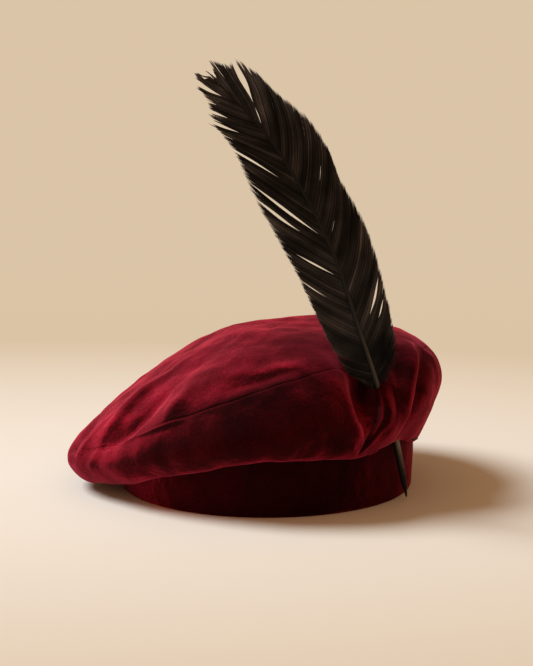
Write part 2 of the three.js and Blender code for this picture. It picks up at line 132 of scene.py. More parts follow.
# %% [markdown]
# ## The form of the crown
#
# A beret's crown is a bag: it leaves the band's top edge, hangs over the band in a lip, swells to a belly,
# and comes up to the seam between its two panels, then runs in over the top. It could be made by a cloth
# simulation, but then the slouch would never fall as the photo shows it. Instead a table gives the outline
# at twelve sections round the head. Smooth curves join them: a closed one round the head through every
# column, and one up the section through its eight points.
#
# A place on the crown has two numbers. `angle` goes round the head in degrees, from the high side over the
# back to the low side and the front. `level` counts the section's points: 0 at the band's edge, 1 where the
# cloth turns out of the band, 2 lip, 3 belly, 4 seam, 5 shoulder and 6 the middle of the top.

# %% Sections of the crown
BAND = {"half_width": 96, "half_depth": 89, "height": 42, "wall": 3}
TUCK = {"inset": 2.6, "turn_out": 1.8, "lift": 0.4, "drop": 0.5}
MIDDLE_HEIGHT = 105
SECTION_COLUMNS = (
    "angle", "lip_r", "lip_z", "belly_r", "belly_z", "seam_r", "seam_z", "shoulder_r", "shoulder_z")
SECTION_ROWS = np.array([
    (0, 98, 29.5, 115.5, 70, 105.5, 91.5, 62, 105.5),
    (45, 100, 35, 116, 67, 103, 90, 60, 104),
    (90, 101, 35, 114, 56, 102, 76, 58, 98),
    (135, 106, 20, 122, 37, 115, 52, 62, 89),
    (165, 113, 8, 127, 21, 124, 31, 66, 78),
    (190, 117, 5.2, 131, 18.5, 127, 28, 70, 74.5),
    (210, 107, 12, 120, 25, 112, 38.5, 64, 79.5),
    (235, 100, 25, 110.5, 41, 101, 60, 57, 91),
    (270, 99, 38, 107.5, 56, 91, 82, 52, 99.5),
    (305, 98.5, 37, 107, 60, 90, 95, 55, 104),
    (327, 98.5, 40, 108.5, 64, 95, 98, 58, 105),
    (342, 98.3, 34, 111, 68, 99.5, 96.5, 60, 105.5),
])
SECTIONS = dict(zip(SECTION_COLUMNS, SECTION_ROWS.T))


def round_the_head(column, angle):
    """A column of the table at any angle, by a smooth curve that closes on itself."""
    angles, values = SECTIONS["angle"], SECTIONS[column]
    count = len(angles)
    turned = np.mod(angle, 360)
    row = np.searchsorted(angles, turned, side="right") - 1

    def at(k):
        wrapped = np.mod(k, count)
        return angles[wrapped] + 360 * np.floor_divide(k, count), values[wrapped]

    (a0, v0), (a1, v1), (a2, v2), (a3, v3) = at(row - 1), at(row), at(row + 1), at(row + 2)
    span = a2 - a1
    t = (turned - a1) / span
    slope1 = (v2 - v0) / (a2 - a0) * span
    slope2 = (v3 - v1) / (a3 - a1) * span
    return ((2 * t**3 - 3 * t**2 + 1) * v1 + (t**3 - 2 * t**2 + t) * slope1
            + (3 * t**2 - 2 * t**3) * v2 + (t**3 - t**2) * slope2)


print("height of the seam round the head:", round_the_head("seam_z", np.arange(0, 360, 60)).round(1))

# %% Surface of the crown
def band_radius(angle):
    """How far the band's oval is from its middle."""
    a = np.radians(angle)
    across, deep = BAND["half_width"], BAND["half_depth"]
    return across * deep / np.hypot(deep * np.cos(a), across * np.sin(a))


def spline(p0, p1, p2, p3, t):
    """A centripetal Catmull-Rom curve from p1 to p2."""
    d0, d1, d2 = (np.maximum(((b - a) ** 2).sum(-1) ** 0.25, 1e-4)[..., None]
                  for a, b in ((p0, p1), (p1, p2), (p2, p3)))
    t1 = ((p1 - p0) / d0 - (p2 - p0) / (d0 + d1) + (p2 - p1) / d1) * d1
    t2 = ((p2 - p1) / d1 - (p3 - p1) / (d1 + d2) + (p3 - p2) / d2) * d1
    t = np.asarray(t)[..., None]
    return p1 + t1 * t + (3 * (p2 - p1) - 2 * t1 - t2) * t**2 + (2 * (p1 - p2) + t1 + t2) * t**3


def section_points(angle):
    """The eight points of the section, from the band's edge over the middle to the far shoulder: r and z."""
    band = band_radius(angle)
    edge = np.zeros_like(band) + BAND["height"] + TUCK["lift"]
    shoulder = (round_the_head("shoulder_r", angle), round_the_head("shoulder_z", angle))
    points = [(band - TUCK["inset"], edge), (band + TUCK["turn_out"], edge - TUCK["drop"])]
    points += [(round_the_head(f"{line}_r", angle), round_the_head(f"{line}_z", angle))
               for line in ("lip", "belly", "seam")]
    middle = (np.zeros_like(band), np.zeros_like(band) + MIDDLE_HEIGHT)
    points += [shoulder, middle, (-shoulder[0], shoulder[1])]
    return np.stack([np.stack(p, -1) for p in points])


def smooth_crown(angle, level):
    """The crown without its folds, as points in millimetres."""
    angle, level = np.broadcast_arrays(np.asarray(angle, float), np.asarray(level, float))
    points = section_points(angle)
    first = 2 * points[:1] - points[1:2]
    last = 2 * points[-1:] - points[-2:-1]
    points = np.concatenate([first, points, last])
    span = np.clip(np.floor(level).astype(int), 0, 6)
    p0, p1, p2, p3 = (np.take_along_axis(points, (span + k)[None, ..., None], 0)[0] for k in range(4))
    r, z = np.moveaxis(spline(p0, p1, p2, p3, level - span), -1, 0)
    a = np.radians(angle)
    return np.stack([r * np.cos(a), r * np.sin(a), z], -1)


print("belly round the head, without folds:", smooth_crown(np.arange(0, 360, 90), 3).round(1).tolist())

# %% [markdown]
# ## Folds
#
# Velvet with a lining falls in a few broad soft folds, and the quill is pushed through one deep pleat. The
# broad ones are the same as in the solid model: each runs from a low level and angle to a high one, has a
# depth out of the cloth or into it, and half-widths in degrees. The finer ones exist only here. They are
# creases and ridges drawn as short lines over the cloth, which need sizes in millimetres, so they get a
# table of their own. Two of them lie side by side, `pocket_slit` and `pocket_edge`: they are the mouth of
# the pocket that the quill goes into, a dark slit with a raised edge. Last, weak ripples of three sizes keep
# the plain stretches of cloth from looking hard. Sculpting the folds by hand would look as good, but a table
# can be read and changed.

# %% Broad folds of the solid model
FOLD_COLUMNS = (
    "low", "low_angle", "high", "high_angle", "bow", "depth", "peak", "left", "right", "pinch", "steep")
FOLDS = {
    "quill_pleat": (2.4, -54, 5, -45.5, -1.2, -18, 0.4, 14, 19, 0.06, 3),
    "quill_cover": (2, -45, 3.6, -43.5, 0, 3.4, 0.5, 4.2, 4, 0.8, 2),
    "side_valley": (2.1, -46, 4.4, -32, -1, -4.2, 0.6, 4, 4.5, 0.5, 2),
    "side_ridge": (2.1, -41, 4.4, -13, -9, 3.4, 0.6, 4.2, 4.5, 0.6, 2),
    "high_valley": (2.2, -39, 4.3, -3, -4, -5.6, 0.55, 6, 6.5, 0.4, 2),
    "low_swell": (3.7, 230.5, 4.9, 233, 0, 2, 0.45, 6, 6, 0.9, 2),
    "low_valley": (3.7, 210.5, 5.1, 221, 0, -4, 0.4, 6, 6.5, 0.8, 2),
    "low_ridge": (3.8, 206, 5.5, 190, 0, 3.2, 0.4, 5.5, 4.5, 0.9, 2),
    "nose_valley": (3.3, 191, 4.8, 183, 0, -2.2, 0.45, 5, 4.5, 0.9, 2),
    "back_valley": (2.2, 62, 4.9, 72, 0, -6, 0.45, 12, 10, 0.7, 2),
    "back_ridge": (2.2, 98, 4.8, 108, 3, 3.5, 0.5, 11, 10, 0.8, 2),
    "back_low_valley": (2.2, 126, 4.8, 132, 2, -4.5, 0.45, 10, 10, 0.8, 2),
}
DENT_COLUMNS = ("x", "y", "length", "width", "heading", "depth")
DENTS = {
    "top_crease": (22, 22, 34, 9, 6, -2.2),
    "slope_hollow": (-52, -34, 30, 12, -32, -2.4),
    "slope_swell": (-6, -58, 34, 13, 8, 2.2),
}


print(len(FOLDS), "broad folds and", len(DENTS), "dents")

# %% Crown with its broad folds
def degrees_from(angle, centre):
    """How far an angle is from a centre, between -180 and 180."""
    return np.mod(angle - centre + 180, 360) - 180


def fold_height(angle, level, points):
    """How far the broad folds and dents stand out of the smooth crown, in millimetres."""
    height = np.zeros(angle.shape)
    for row in FOLDS.values():
        f = dict(zip(FOLD_COLUMNS, row))
        share = (level - f["low"]) / (f["high"] - f["low"])
        bow = f["bow"] * np.sin(np.pi * share)
        off = degrees_from(angle, f["low_angle"] + (f["high_angle"] - f["low_angle"]) * share + bow)
        half_width = np.where(off < 0, f["left"], f["right"])
        width = half_width * np.maximum(f["pinch"] + (1 - f["pinch"]) * share, 0.01)
        rise = smooth_step(0, f["peak"], share) * (1 - smooth_step(f["peak"], 1, share))
        height += f["depth"] * rise * np.exp(-np.abs(off / width) ** f["steep"])
    for row in DENTS.values():
        d = dict(zip(DENT_COLUMNS, row))
        heading = math.radians(d["heading"])
        dx, dy = points[..., 0] - d["x"], points[..., 1] - d["y"]
        along = (dx * math.cos(heading) + dy * math.sin(heading)) / d["length"]
        across = (dy * math.cos(heading) - dx * math.sin(heading)) / d["width"]
        height += d["depth"] * smooth_step(4, 4.4, level) * np.exp(-(along**2 + across**2))
    return height


def outward(surface, angle, level):
    """The direction that stands out of a surface at an angle and level."""
    along = surface(angle + 1.2, level) - surface(angle - 1.2, level)
    up = surface(angle, level + 0.05) - surface(angle, level - 0.05)
    normal = np.cross(along, up)
    return normal / np.linalg.norm(normal, axis=-1)[..., None]


def crown(angle, level):
    """The crown's outer face as in the solid model."""
    angle, level = np.broadcast_arrays(np.asarray(angle, float), np.asarray(level, float))
    points = smooth_crown(angle, level)
    height = fold_height(angle, level, points)
    return points + outward(smooth_crown, angle, np.minimum(level, 5.9)) * height[..., None]


print("bottom of the pleat at the seam:", crown(-50, 4).round(1).tolist())

# %% Fine creases and ridges
MM_PER_DEGREE = 2.0
MM_PER_LEVEL = 35.0
CREASE_COLUMNS = ("angle_1", "level_1", "angle_2", "level_2", "bow", "before", "after", "depth")
CREASES = {
    "low_ridge_crest": (205, 4.0, 194, 5.0, 3, 4, 5, 1.6),
    "low_ridge_foot": (210, 4.02, 218, 4.85, 0, 6, 6, -0.8),
    "low_swell_crest": (231, 4.0, 237, 4.55, 0, 5, 5, 1.0),
    "nose_thin_ridge": (197.2, 3.45, 195, 4.5, 0, 2.0, 3.2, 1.3),
    "nose_groove": (194.5, 3.7, 184, 4.42, 0, 3.5, 3.5, -1.0),
    "nose_front_ridge": (204.5, 2.8, 204.7, 4.1, 0, 3, 4, 0.9),
    "seam_rim": (241, 3.9, 208, 3.95, 0, 2.8, 2.8, 1.0),
    "ledge": (288, 4.27, 243, 4.58, 0, 4.2, 4.2, 1.4),
    "under_ledge": (284, 4.17, 250, 4.24, 0, 3.2, 3.2, -0.9),
    "quill_cover_crest": (314.5, 2.45, 322.5, 3.8, 2.5, 3.5, 4, 1.5),
    "pocket_slit": (303.5, 2.3, 315.8, 3.5, 2, 1.3, 1.4, -2.8),
    "pocket_edge": (304.8, 2.3, 317.1, 3.5, 2, 1.0, 3.0, 0.8),
    "lip_by_quill": (309, 2.02, 315.5, 2.08, 0, 5, 5, 0.8),
    "side_ridge_crest": (321, 2.35, 341, 4.1, -9, 4, 4.5, 1.4),
    "high_ridge_crest": (350, 2.9, 352.5, 4.0, 0, 4, 5, 1.2),
    "lip_gather_1": (278, 2.3, 281, 2.85, 0, 2.6, 2.6, 0.35),
    "lip_gather_2": (283.5, 2.25, 285, 2.75, 0, 2.6, 2.6, -0.3),
    "lip_gather_3": (303, 2.2, 300, 2.6, 0, 2.8, 2.8, 0.5),
}


def crease_height(angle, level):
    """How far the fine creases and ridges stand out, in millimetres."""
    height = np.zeros(angle.shape)
    for row in CREASES.values():
        c = dict(zip(CREASE_COLUMNS, row))
        run_x = (c["angle_2"] - c["angle_1"]) * MM_PER_DEGREE
        run_y = (c["level_2"] - c["level_1"]) * MM_PER_LEVEL
        length = np.linalg.norm([run_x, run_y])
        x = degrees_from(angle, c["angle_1"]) * MM_PER_DEGREE
        y = (level - c["level_1"]) * MM_PER_LEVEL
        share = (x * run_x + y * run_y) / length**2
        across = (x * run_y - y * run_x) / length - c["bow"] * np.sin(np.pi * np.clip(share, 0, 1))
        width = np.where(across < 0, c["before"], c["after"])
        ends = smooth_step(-0.12, 0.3, share) * (1 - smooth_step(0.7, 1.12, share))
        height += c["depth"] * ends * np.exp(-(across / width) ** 2)
    return height


print(len(CREASES), "fine creases and ridges")

# %% Ripples
RIPPLE_SLOPE = 0.0045
rng = np.random.default_rng(7)
RIPPLES = [
    (rng.uniform(-1, 1, 3), rng.uniform(0, 2 * np.pi), size)
    for size in (36, 22, 14) for _ in range(7)]


def ripple_height(points):
    """Slight unevenness of soft cloth: waves of several sizes through the piece, in millimetres."""
    height = np.zeros(points.shape[:-1])
    for direction, phase, size in RIPPLES:
        along = points @ (direction / np.linalg.norm(direction))
        height += RIPPLE_SLOPE * size * np.sin(along * 2 * np.pi / size + phase)
    return height


print(len(RIPPLES), "waves make the ripples")

# %% [markdown]
# ## Velvet
#
# Velvet is a dense upright pile on a woven ground. Looked at end-on the pile swallows light, so the cloth is
# nearly black where it faces the eye. Where the eye meets the pile from the side, at the edges of every
# fold, it glows. A Layer Weight node tells how far a place is turned away, and a ramp paints that glow into
# the base colour: a painted sheen over the pile's own dark colour. The Principled shader's sheen layer adds
# the last soft glow. Sheen alone would be simpler, but it leaves too little difference between the faces of
# a fold and its edges.
#
# The angle is not taken from the plain normal either: a fixed tilt first tips it up and a little to the high
# side, so that tops come out lighter and undersides darker, which is painted light and shade. Noise gives the
# pile cloudy patches, which lean another way and are lighter or darker, a speckled grain and a fine bump.
# Last, the colour is multiplied by a number that each mesh has at its points, which paints light and shade.
#
# The reverse is the plain ground weave, dull and dark, and shows only inside the hat.

# %% Node helpers
def new_material(name):
    material = bpy.data.materials.new(name)
    material.use_nodes = True
    nodes, links = material.node_tree.nodes, material.node_tree.links
    return material, nodes, links, nodes["Principled BSDF"]


def noise(nodes, links, place, waves_in_a_metre, detail=3, stretch=None):
    """Noise in the object's own metres."""
    texture = nodes.new("ShaderNodeTexNoise")
    texture.inputs["Scale"].default_value = waves_in_a_metre
    texture.inputs["Detail"].default_value = detail
    texture.inputs["Roughness"].default_value = 0.55
    if stretch is None:
        links.new(place, texture.inputs["Vector"])
        return texture.outputs["Fac"]
    mapping = nodes.new("ShaderNodeMapping")
    mapping.inputs["Scale"].default_value = stretch
    links.new(place, mapping.inputs["Vector"])
    links.new(mapping.outputs["Vector"], texture.inputs["Vector"])
    return texture.outputs["Fac"]


def bump(nodes, links, height, distance, below=None):
    """A normal that follows height, distance metres deep, over another normal if there is one below."""
    node = nodes.new("ShaderNodeBump")
    node.inputs["Distance"].default_value = distance
    links.new(height, node.inputs["Height"])
    if below is not None:
        links.new(below, node.inputs["Normal"])
    return node.outputs["Normal"]


print("noise and bump helpers are ready")

# %% Colour helpers
def ramp(nodes, links, value, stops):
    """A colour for each value: stops are (place, colour)."""
    node = nodes.new("ShaderNodeValToRGB")
    elements = node.color_ramp.elements
    while len(elements) < len(stops):
        elements.new(0.5)
    for element, (place, colour) in zip(elements, stops):
        element.position = place
        element.color = (*colour, 1)
    links.new(value, node.inputs["Fac"])
    return node.outputs["Color"]


def greys(dark, light):
    """Stops from a dark to a light grey, with which a colour is multiplied."""
    return [(0.3, (dark,) * 3), (0.7, (light,) * 3)]


def mixed(nodes, links, share, first, second, blend="MIX"):
    """Two colours mixed: each of them, and the share, is a socket or a plain value."""
    node = nodes.new("ShaderNodeMix")
    node.data_type = "RGBA"
    node.blend_type = blend
    for socket, value in ((0, share), (6, first), (7, second)):
        if isinstance(value, bpy.types.NodeSocket):
            links.new(value, node.inputs[socket])
        else:
            node.inputs[socket].default_value = value if socket == 0 else (*value, 1)
    return node.outputs[2]


def attribute(nodes, name):
    """The number that the mesh has under this name."""
    node = nodes.new("ShaderNodeAttribute")
    node.attribute_name = name
    return node.outputs["Fac"]


print("greys for a speckled grain:", greys(0.7, 1.3))

# %% Velvet
PILE_GLOW = (1.0, 0.10, 0.19)
# Tilt added to the normal before the angle is taken: tops lighter, undersides darker, painted light and
# shade.
PAINTED_SHADE_TILT = (0.12, 0, 0.24)
PATCH_WAVES, GRAIN_WAVES, PILE_WAVES = 46, 620, 2600
PATCH_DEPTH, GRAIN_DEPTH, PILE_DEPTH = 0.0016, 0.0002, 0.00008
# The pile's own dark colour end-on, and towards edge-on a painted sheen in the base colour.
PILE_AND_PAINTED_SHEEN_STOPS = [
    (0.0, (0.0190, 0.0001, 0.0007)), (0.16, (0.0175, 0.0002, 0.0008)), (0.25, (0.0460, 0.0009, 0.0028)),
    (0.35, (0.1200, 0.0030, 0.0096)), (0.7, (0.1650, 0.0080, 0.0200)), (0.85, (0.2700, 0.0200, 0.0390)),
    (1.0, (0.4600, 0.0420, 0.0780))]


def make_velvet(name, tone, cloudy, sheen):
    """tone makes all of it darker, which on the band is painted shade, and cloudy is how dark and how light
    its patches are.
    """
    material, nodes, links, shader = new_material(name)
    place = nodes.new("ShaderNodeTexCoord").outputs["Object"]
    patches = noise(nodes, links, place, PATCH_WAVES, detail=4)
    grain = noise(nodes, links, place, GRAIN_WAVES, detail=2)
    pile = noise(nodes, links, place, PILE_WAVES, detail=1)
    leaning = bump(nodes, links, patches, PATCH_DEPTH)
    tipped = nodes.new("ShaderNodeVectorMath")
    tipped.inputs[1].default_value = PAINTED_SHADE_TILT
    links.new(leaning, tipped.inputs[0])
    painted_shade_direction = nodes.new("ShaderNodeVectorMath")
    painted_shade_direction.operation = "NORMALIZE"
    links.new(tipped.outputs["Vector"], painted_shade_direction.inputs[0])
    edge_on = nodes.new("ShaderNodeLayerWeight")
    edge_on.inputs["Blend"].default_value = 0.5
    links.new(painted_shade_direction.outputs["Vector"], edge_on.inputs["Normal"])
    pile_and_painted_sheen = ramp(nodes, links, edge_on.outputs["Facing"], PILE_AND_PAINTED_SHEEN_STOPS)
    shades = [(0.36, cloudy[0]), (0.5, 1), (0.64, cloudy[1])]
    clouds = ramp(nodes, links, patches, [(stop, (tone * shade,) * 3) for stop, shade in shades])
    clouded = mixed(nodes, links, 1.0, pile_and_painted_sheen, clouds, "MULTIPLY")
    speckled = mixed(nodes, links, 1.0, clouded, ramp(nodes, links, grain, greys(0.7, 1.3)), "MULTIPLY")
    shaded = nodes.new("ShaderNodeVectorMath")
    shaded.operation = "SCALE"
    links.new(speckled, shaded.inputs[0])
    links.new(attribute(nodes, "painted_light_shade"), shaded.inputs["Scale"])
    links.new(shaded.outputs["Vector"], shader.inputs["Base Color"])
    grained = bump(nodes, links, grain, GRAIN_DEPTH, below=leaning)
    links.new(bump(nodes, links, pile, PILE_DEPTH, below=grained), shader.inputs["Normal"])
    shader.inputs["Roughness"].default_value = 0.95
    shader.inputs["Specular IOR Level"].default_value = 0.05
    shader.inputs["Sheen Weight"].default_value = sheen
    shader.inputs["Sheen Roughness"].default_value = 0.42
    shader.inputs["Sheen Tint"].default_value = (*PILE_GLOW, 1)
    return material


crown_velvet = make_velvet("crown velvet", 1.0, (0.68, 1.38), 0.35)
# The band's copy is darker all over and glows less: painted shade under the crown's lip.
band_velvet_painted_shade = make_velvet("band velvet painted shade", 0.6, (0.75, 1.2), 0.24)
print("materials:", crown_velvet.name, band_velvet_painted_shade.name)

# %% Reverse of the velvet
def make_reverse():
    """The ground weave: fine threads both ways, matt."""
    material, nodes, links, shader = new_material("velvet reverse")
    place = nodes.new("ShaderNodeTexCoord").outputs["Object"]
    threads = noise(nodes, links, place, 900, detail=2, stretch=(1, 1, 0.25))
    colour = ramp(nodes, links, threads, [(0.3, (0.035, 0.004, 0.008)), (0.7, (0.085, 0.012, 0.02))])
    links.new(colour, shader.inputs["Base Color"])
    links.new(bump(nodes, links, threads, 0.0003), shader.inputs["Normal"])
    shader.inputs["Roughness"].default_value = 0.9
    shader.inputs["Specular IOR Level"].default_value = 0.15
    return material


reverse = make_reverse()
print("material:", reverse.name)

# %% [markdown]
# ## Painted light and shade
#
# Besides its small cloudy patches, the velvet is made lighter or darker in large soft areas where light and
# shade fall on the hat: painted light and shade, such as a lighter low end and a darker high top. Painting
# them on the mesh would be the usual way. A short table does the same and can be read: each row is a soft
# oval on the crown, with its middle, its half-sizes in degrees and levels, and the shade by which it
# multiplies the pile's colour. Where ovals overlap, so do their shades.

# %% Painted light and shade on the crown
PAINTED_LIGHT_COLUMNS = ("angle", "level", "wide", "high", "shade")
# Soft ovals of painted light and shade: above 1 lighter, below 1 darker.
CROWN_PAINTED_LIGHT_AND_SHADE = {
    "low_end": (203, 3.95, 15, 0.6, 1.7),
    "lip_low": (222, 2.7, 16, 0.5, 1.4),
    "low_slope": (207, 4.65, 10, 0.35, 1.5),
    "under_ledge": (272, 4.38, 12, 0.12, 1.9),
    "below_seam": (264, 3.96, 26, 0.2, 0.22),
    "top_front": (262, 5.05, 16, 0.3, 0.66),
    "top_by_feather": (305, 5.0, 22, 0.7, 0.3),
    "high_top": (346, 4.1, 18, 0.75, 0.18),
    "side_front": (288, 3.1, 13, 0.35, 2.0),
    "lip_front": (248, 2.75, 30, 0.3, 1.6),
    "between_folds": (324, 3.2, 4, 0.3, 2.6),
}


def painted_light_and_shade(places, angle, level):
    """How far painted light and shade lighten or darken the pile's colour: 1 outside the ovals."""
    shade = np.zeros(np.broadcast(angle, level).shape)
    for row in places.values():
        b = dict(zip(PAINTED_LIGHT_COLUMNS, row))
        off = (degrees_from(angle, b["angle"]) / b["wide"]) ** 2 + ((level - b["level"]) / b["high"]) ** 2
        shade += math.log(b["shade"]) * np.exp(-off)
    return np.exp(shade)


print(len(CROWN_PAINTED_LIGHT_AND_SHADE), "brushed areas on the crown")

# %% [markdown]
# ## The two panels of the crown
#
# Each panel is a closed wall of cloth. Its outer face is a grid of points, finest at the front where the
# pleat and the folds are. The lining side needs no such detail, so it is a grid with a quarter of the rows
# and columns, further in by the thickness of the cloth. A Solidify modifier would be shorter to write, but
# it would copy every fine crease to the inside and double the faces.
#
# At the seam both panels roll inwards, and the dark line between the two rolled edges is all that is seen of
# the stitching. `SEAM_STRENGTH` says how deep the roll is round the head: where the cloth is pulled smooth,
# the seam hardly shows.

# %% Grids for the panels
COLUMNS = [(180, 288, 196), (288, 340, 172), (340, 380, 80), (380, 540, 112)]
COARSER = 4
SEAM_GROOVE = {"depth": 0.28, "half_width": 0.9}
SEAM_STRENGTH = [
    (0, 0.1), (25, 0.25), (60, 0.7), (150, 0.7), (180, 0.15), (204, 0.1), (218, 0.5), (232, 1), (258, 0.9),
    (285, 0.6), (315, 0.3), (335, 0.1), (360, 0.1)]


def steps_through(runs):
    """Evenly spaced steps in each run of (from, to, steps)."""
    parts = [np.linspace(start, end, count, endpoint=False) for start, end, count in runs]
    return np.concatenate(parts + [[runs[-1][1]]])


def grid_normals(points):
    """The outward direction at each point of a grid that closes on itself round the head."""
    along = np.roll(points, -1, axis=0) - np.roll(points, 1, axis=0)
    normal = np.cross(along, np.gradient(points, axis=1))
    return normal / np.maximum(np.linalg.norm(normal, axis=-1), 1e-9)[..., None]


def velvet_face(angles, levels):
    """The crown's outer face with its fine folds, as a grid of angles and levels."""
    angle, level = np.meshgrid(angles, levels, indexing="ij")
    base = crown(angle, level)
    normal = grid_normals(base)
    from_seam = np.linalg.norm(base - crown(angles, 4.0)[:, None], axis=-1)
    strength = np.interp(np.mod(angles, 360), *zip(*SEAM_STRENGTH))[:, None]
    groove = strength * SEAM_GROOVE["depth"] * np.exp(-(from_seam / SEAM_GROOVE["half_width"]) ** 2)
    height = crease_height(angle, level) + ripple_height(base) * smooth_step(0.6, 2, level) - groove
    return base + normal * height[..., None]


def grid_faces(columns, rows, start, flip=False):
    """Four-sided faces between the columns of a grid of points that closes on itself, numbered from start."""
    k = np.arange(columns)[:, None] * rows + np.arange(rows - 1)[None, :] + start
    n = (np.arange(1, columns + 1)[:, None] % columns) * rows + np.arange(rows - 1)[None, :] + start
    corners = [k, n, n + 1, k + 1]
    return np.stack(corners[::-1] if flip else corners, -1).reshape(-1, 4).tolist()


def rim_faces(columns, fine_row, coarse_row, fine_rows, coarse_rows, start, flip):
    """Joins an edge of the fine face to the same edge of the coarse one, a few fine columns at a time."""
    faces = []
    for k in range(columns // COARSER):
        fine = [((COARSER * k + i) % columns) * fine_rows + fine_row for i in range(COARSER + 1)]
        coarse = [start + ((k + i) % (columns // COARSER)) * coarse_rows + coarse_row for i in (1, 0)]
        faces.append((fine + coarse)[::-1] if flip else fine + coarse)
    return faces


print("columns of points round the head:", len(steps_through(COLUMNS)) - 1)

# %% Panels
CLOTH = 2.5
SEAM_GAP = 0.3
SIDE_LEVELS = [(0, 1, 8), (1, 2, 20), (2, 3, 28), (3, 3.84, 32), (3.84, 4, 16)]
TOP_LEVELS = [(4, 4.12, 16), (4.12, 5, 40), (5, 5.9, 24)]


def make_panel(name, level_runs, seam_at_start, node):
    angles = steps_through(COLUMNS)[:-1]
    levels = steps_through(level_runs)
    outer = velvet_face(angles, levels)
    seam_row = 0 if seam_at_start else -1
    beside = 1 if seam_at_start else -2
    back = outer[:, beside] - outer[:, seam_row]
    outer[:, seam_row] += back / np.linalg.norm(back, axis=-1)[..., None] * SEAM_GAP / 2
    coarse_angles, coarse_levels = np.meshgrid(angles[::COARSER], levels[::COARSER], indexing="ij")
    within = np.clip(coarse_levels, 0.06, 5.9)
    inner = crown(coarse_angles, coarse_levels) - outward(crown, coarse_angles, within) * CLOTH
    columns, rows, inner_rows = len(angles), len(levels), inner.shape[1]
    start = outer.shape[0] * rows
    points = [outer.reshape(-1, 3), inner.reshape(-1, 3)]
    faces = grid_faces(columns, rows, 0)
    if seam_at_start:
        top, under = start + inner.size // 3, start + inner.size // 3 + 1
        points.append(np.array([outer[:, -1].mean(0), inner[:, -1].mean(0)]))
        faces += [(k * rows + rows - 1, (k + 1) % columns * rows + rows - 1, top) for k in range(columns)]
    else:
        faces += rim_faces(columns, rows - 1, inner_rows - 1, rows, inner_rows, start, False)
    faces += rim_faces(columns, 0, 0, rows, inner_rows, start, True)
    lining_from = len(faces)
    faces += grid_faces(columns // COARSER, inner_rows, start, flip=True)
    if seam_at_start:
        last = [start + k * inner_rows + inner_rows - 1 for k in range(columns // COARSER)]
        faces += [(b, a, under) for a, b in zip(last, last[1:] + last[:1])]
    piece = make_piece(name, np.concatenate(points), faces, [crown_velvet, reverse], lining_from)
    # Painted light and shade at the outer face's points; the lining's points stay at 1.
    shade = painted_light_and_shade(CROWN_PAINTED_LIGHT_AND_SHADE, *np.meshgrid(angles, levels, indexing="ij"))
    not_painted = np.ones(len(piece.data.vertices) - shade.size)
    give_numbers(piece, "painted_light_shade", np.concatenate([shade.ravel(), not_painted]))
    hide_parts(node)
    return piece


crown_side = make_panel("crown_side", SIDE_LEVELS, False, "crown_side_panel")
crown_top = make_panel("crown_top", TOP_LEVELS, True, "crown_top_panel")

# %% [markdown]
# ## The headband
#
# The band is the same velvet, folded double and stretched smooth round the head, so its lower edge is a soft
# fold and its surface has only faint pulls. Its velvet is a darker copy of the crown's, painted shade under
# the crown's lip. Its two ends are joined at the back. It is an oval ring swept round a small profile.
# Lathing a profile would be simpler, but a lathe makes circles and a head is longer than it is wide. Each row
# of `PULLS` is a wave round the band: its depth, how often it comes, its slant and where it starts. Painted
# light and shade are listed like the crown's, with the share of the band's height for the level: lighter on
# the left and darker by the quill.

# %% Profile of the band
BAND_SWELL = 0.9
EDGE_ROUND = 1.5


def swell(z):
    """How far the stretched velvet stands out at a height on the band."""
    return BAND_SWELL * (1 - (2 * z / BAND["height"] - 1) ** 2)


def band_profile():
    """Out from the band's oval and up, round the wall: outer face, top fold, inner face and lower fold."""
    low, high = EDGE_ROUND, BAND["height"] - EDGE_ROUND
    turn = np.radians(np.arange(15, 180, 15))
    outer = [(swell(z), z) for z in np.linspace(low, high, 34)]
    top = [(-EDGE_ROUND + EDGE_ROUND * math.cos(a), high + EDGE_ROUND * math.sin(a)) for a in turn]
    inner = [(swell(z) - BAND["wall"], z) for z in np.linspace(high, low, 9)]
    foot = [(-EDGE_ROUND - EDGE_ROUND * math.cos(a), low - EDGE_ROUND * math.sin(a)) for a in turn]
    return np.array(outer + top + inner + foot), len(outer) + len(top)


print(len(band_profile()[0]), "points in the band's profile")

# %% Band
BAND_COLUMNS = 432
BAND_JOIN = {"angle": 90, "depth": 1.0, "half_width": 1.1}
PULLS = [(0.22, 9, 0.07, 0), (0.12, 23, -0.11, 1), (0.04, 47, 0.2, 0)]
# Painted light and shade on the band: lighter on the left, toward the window, darker by the quill.
BAND_PAINTED_LIGHT_AND_SHADE = {
    "left": (230, 0.4, 24, 1.6, 3.6),
    "front": (275, 0.7, 30, 0.8, 1.45),
    "by_quill": (320, 0.4, 11, 1.5, 0.42),
}


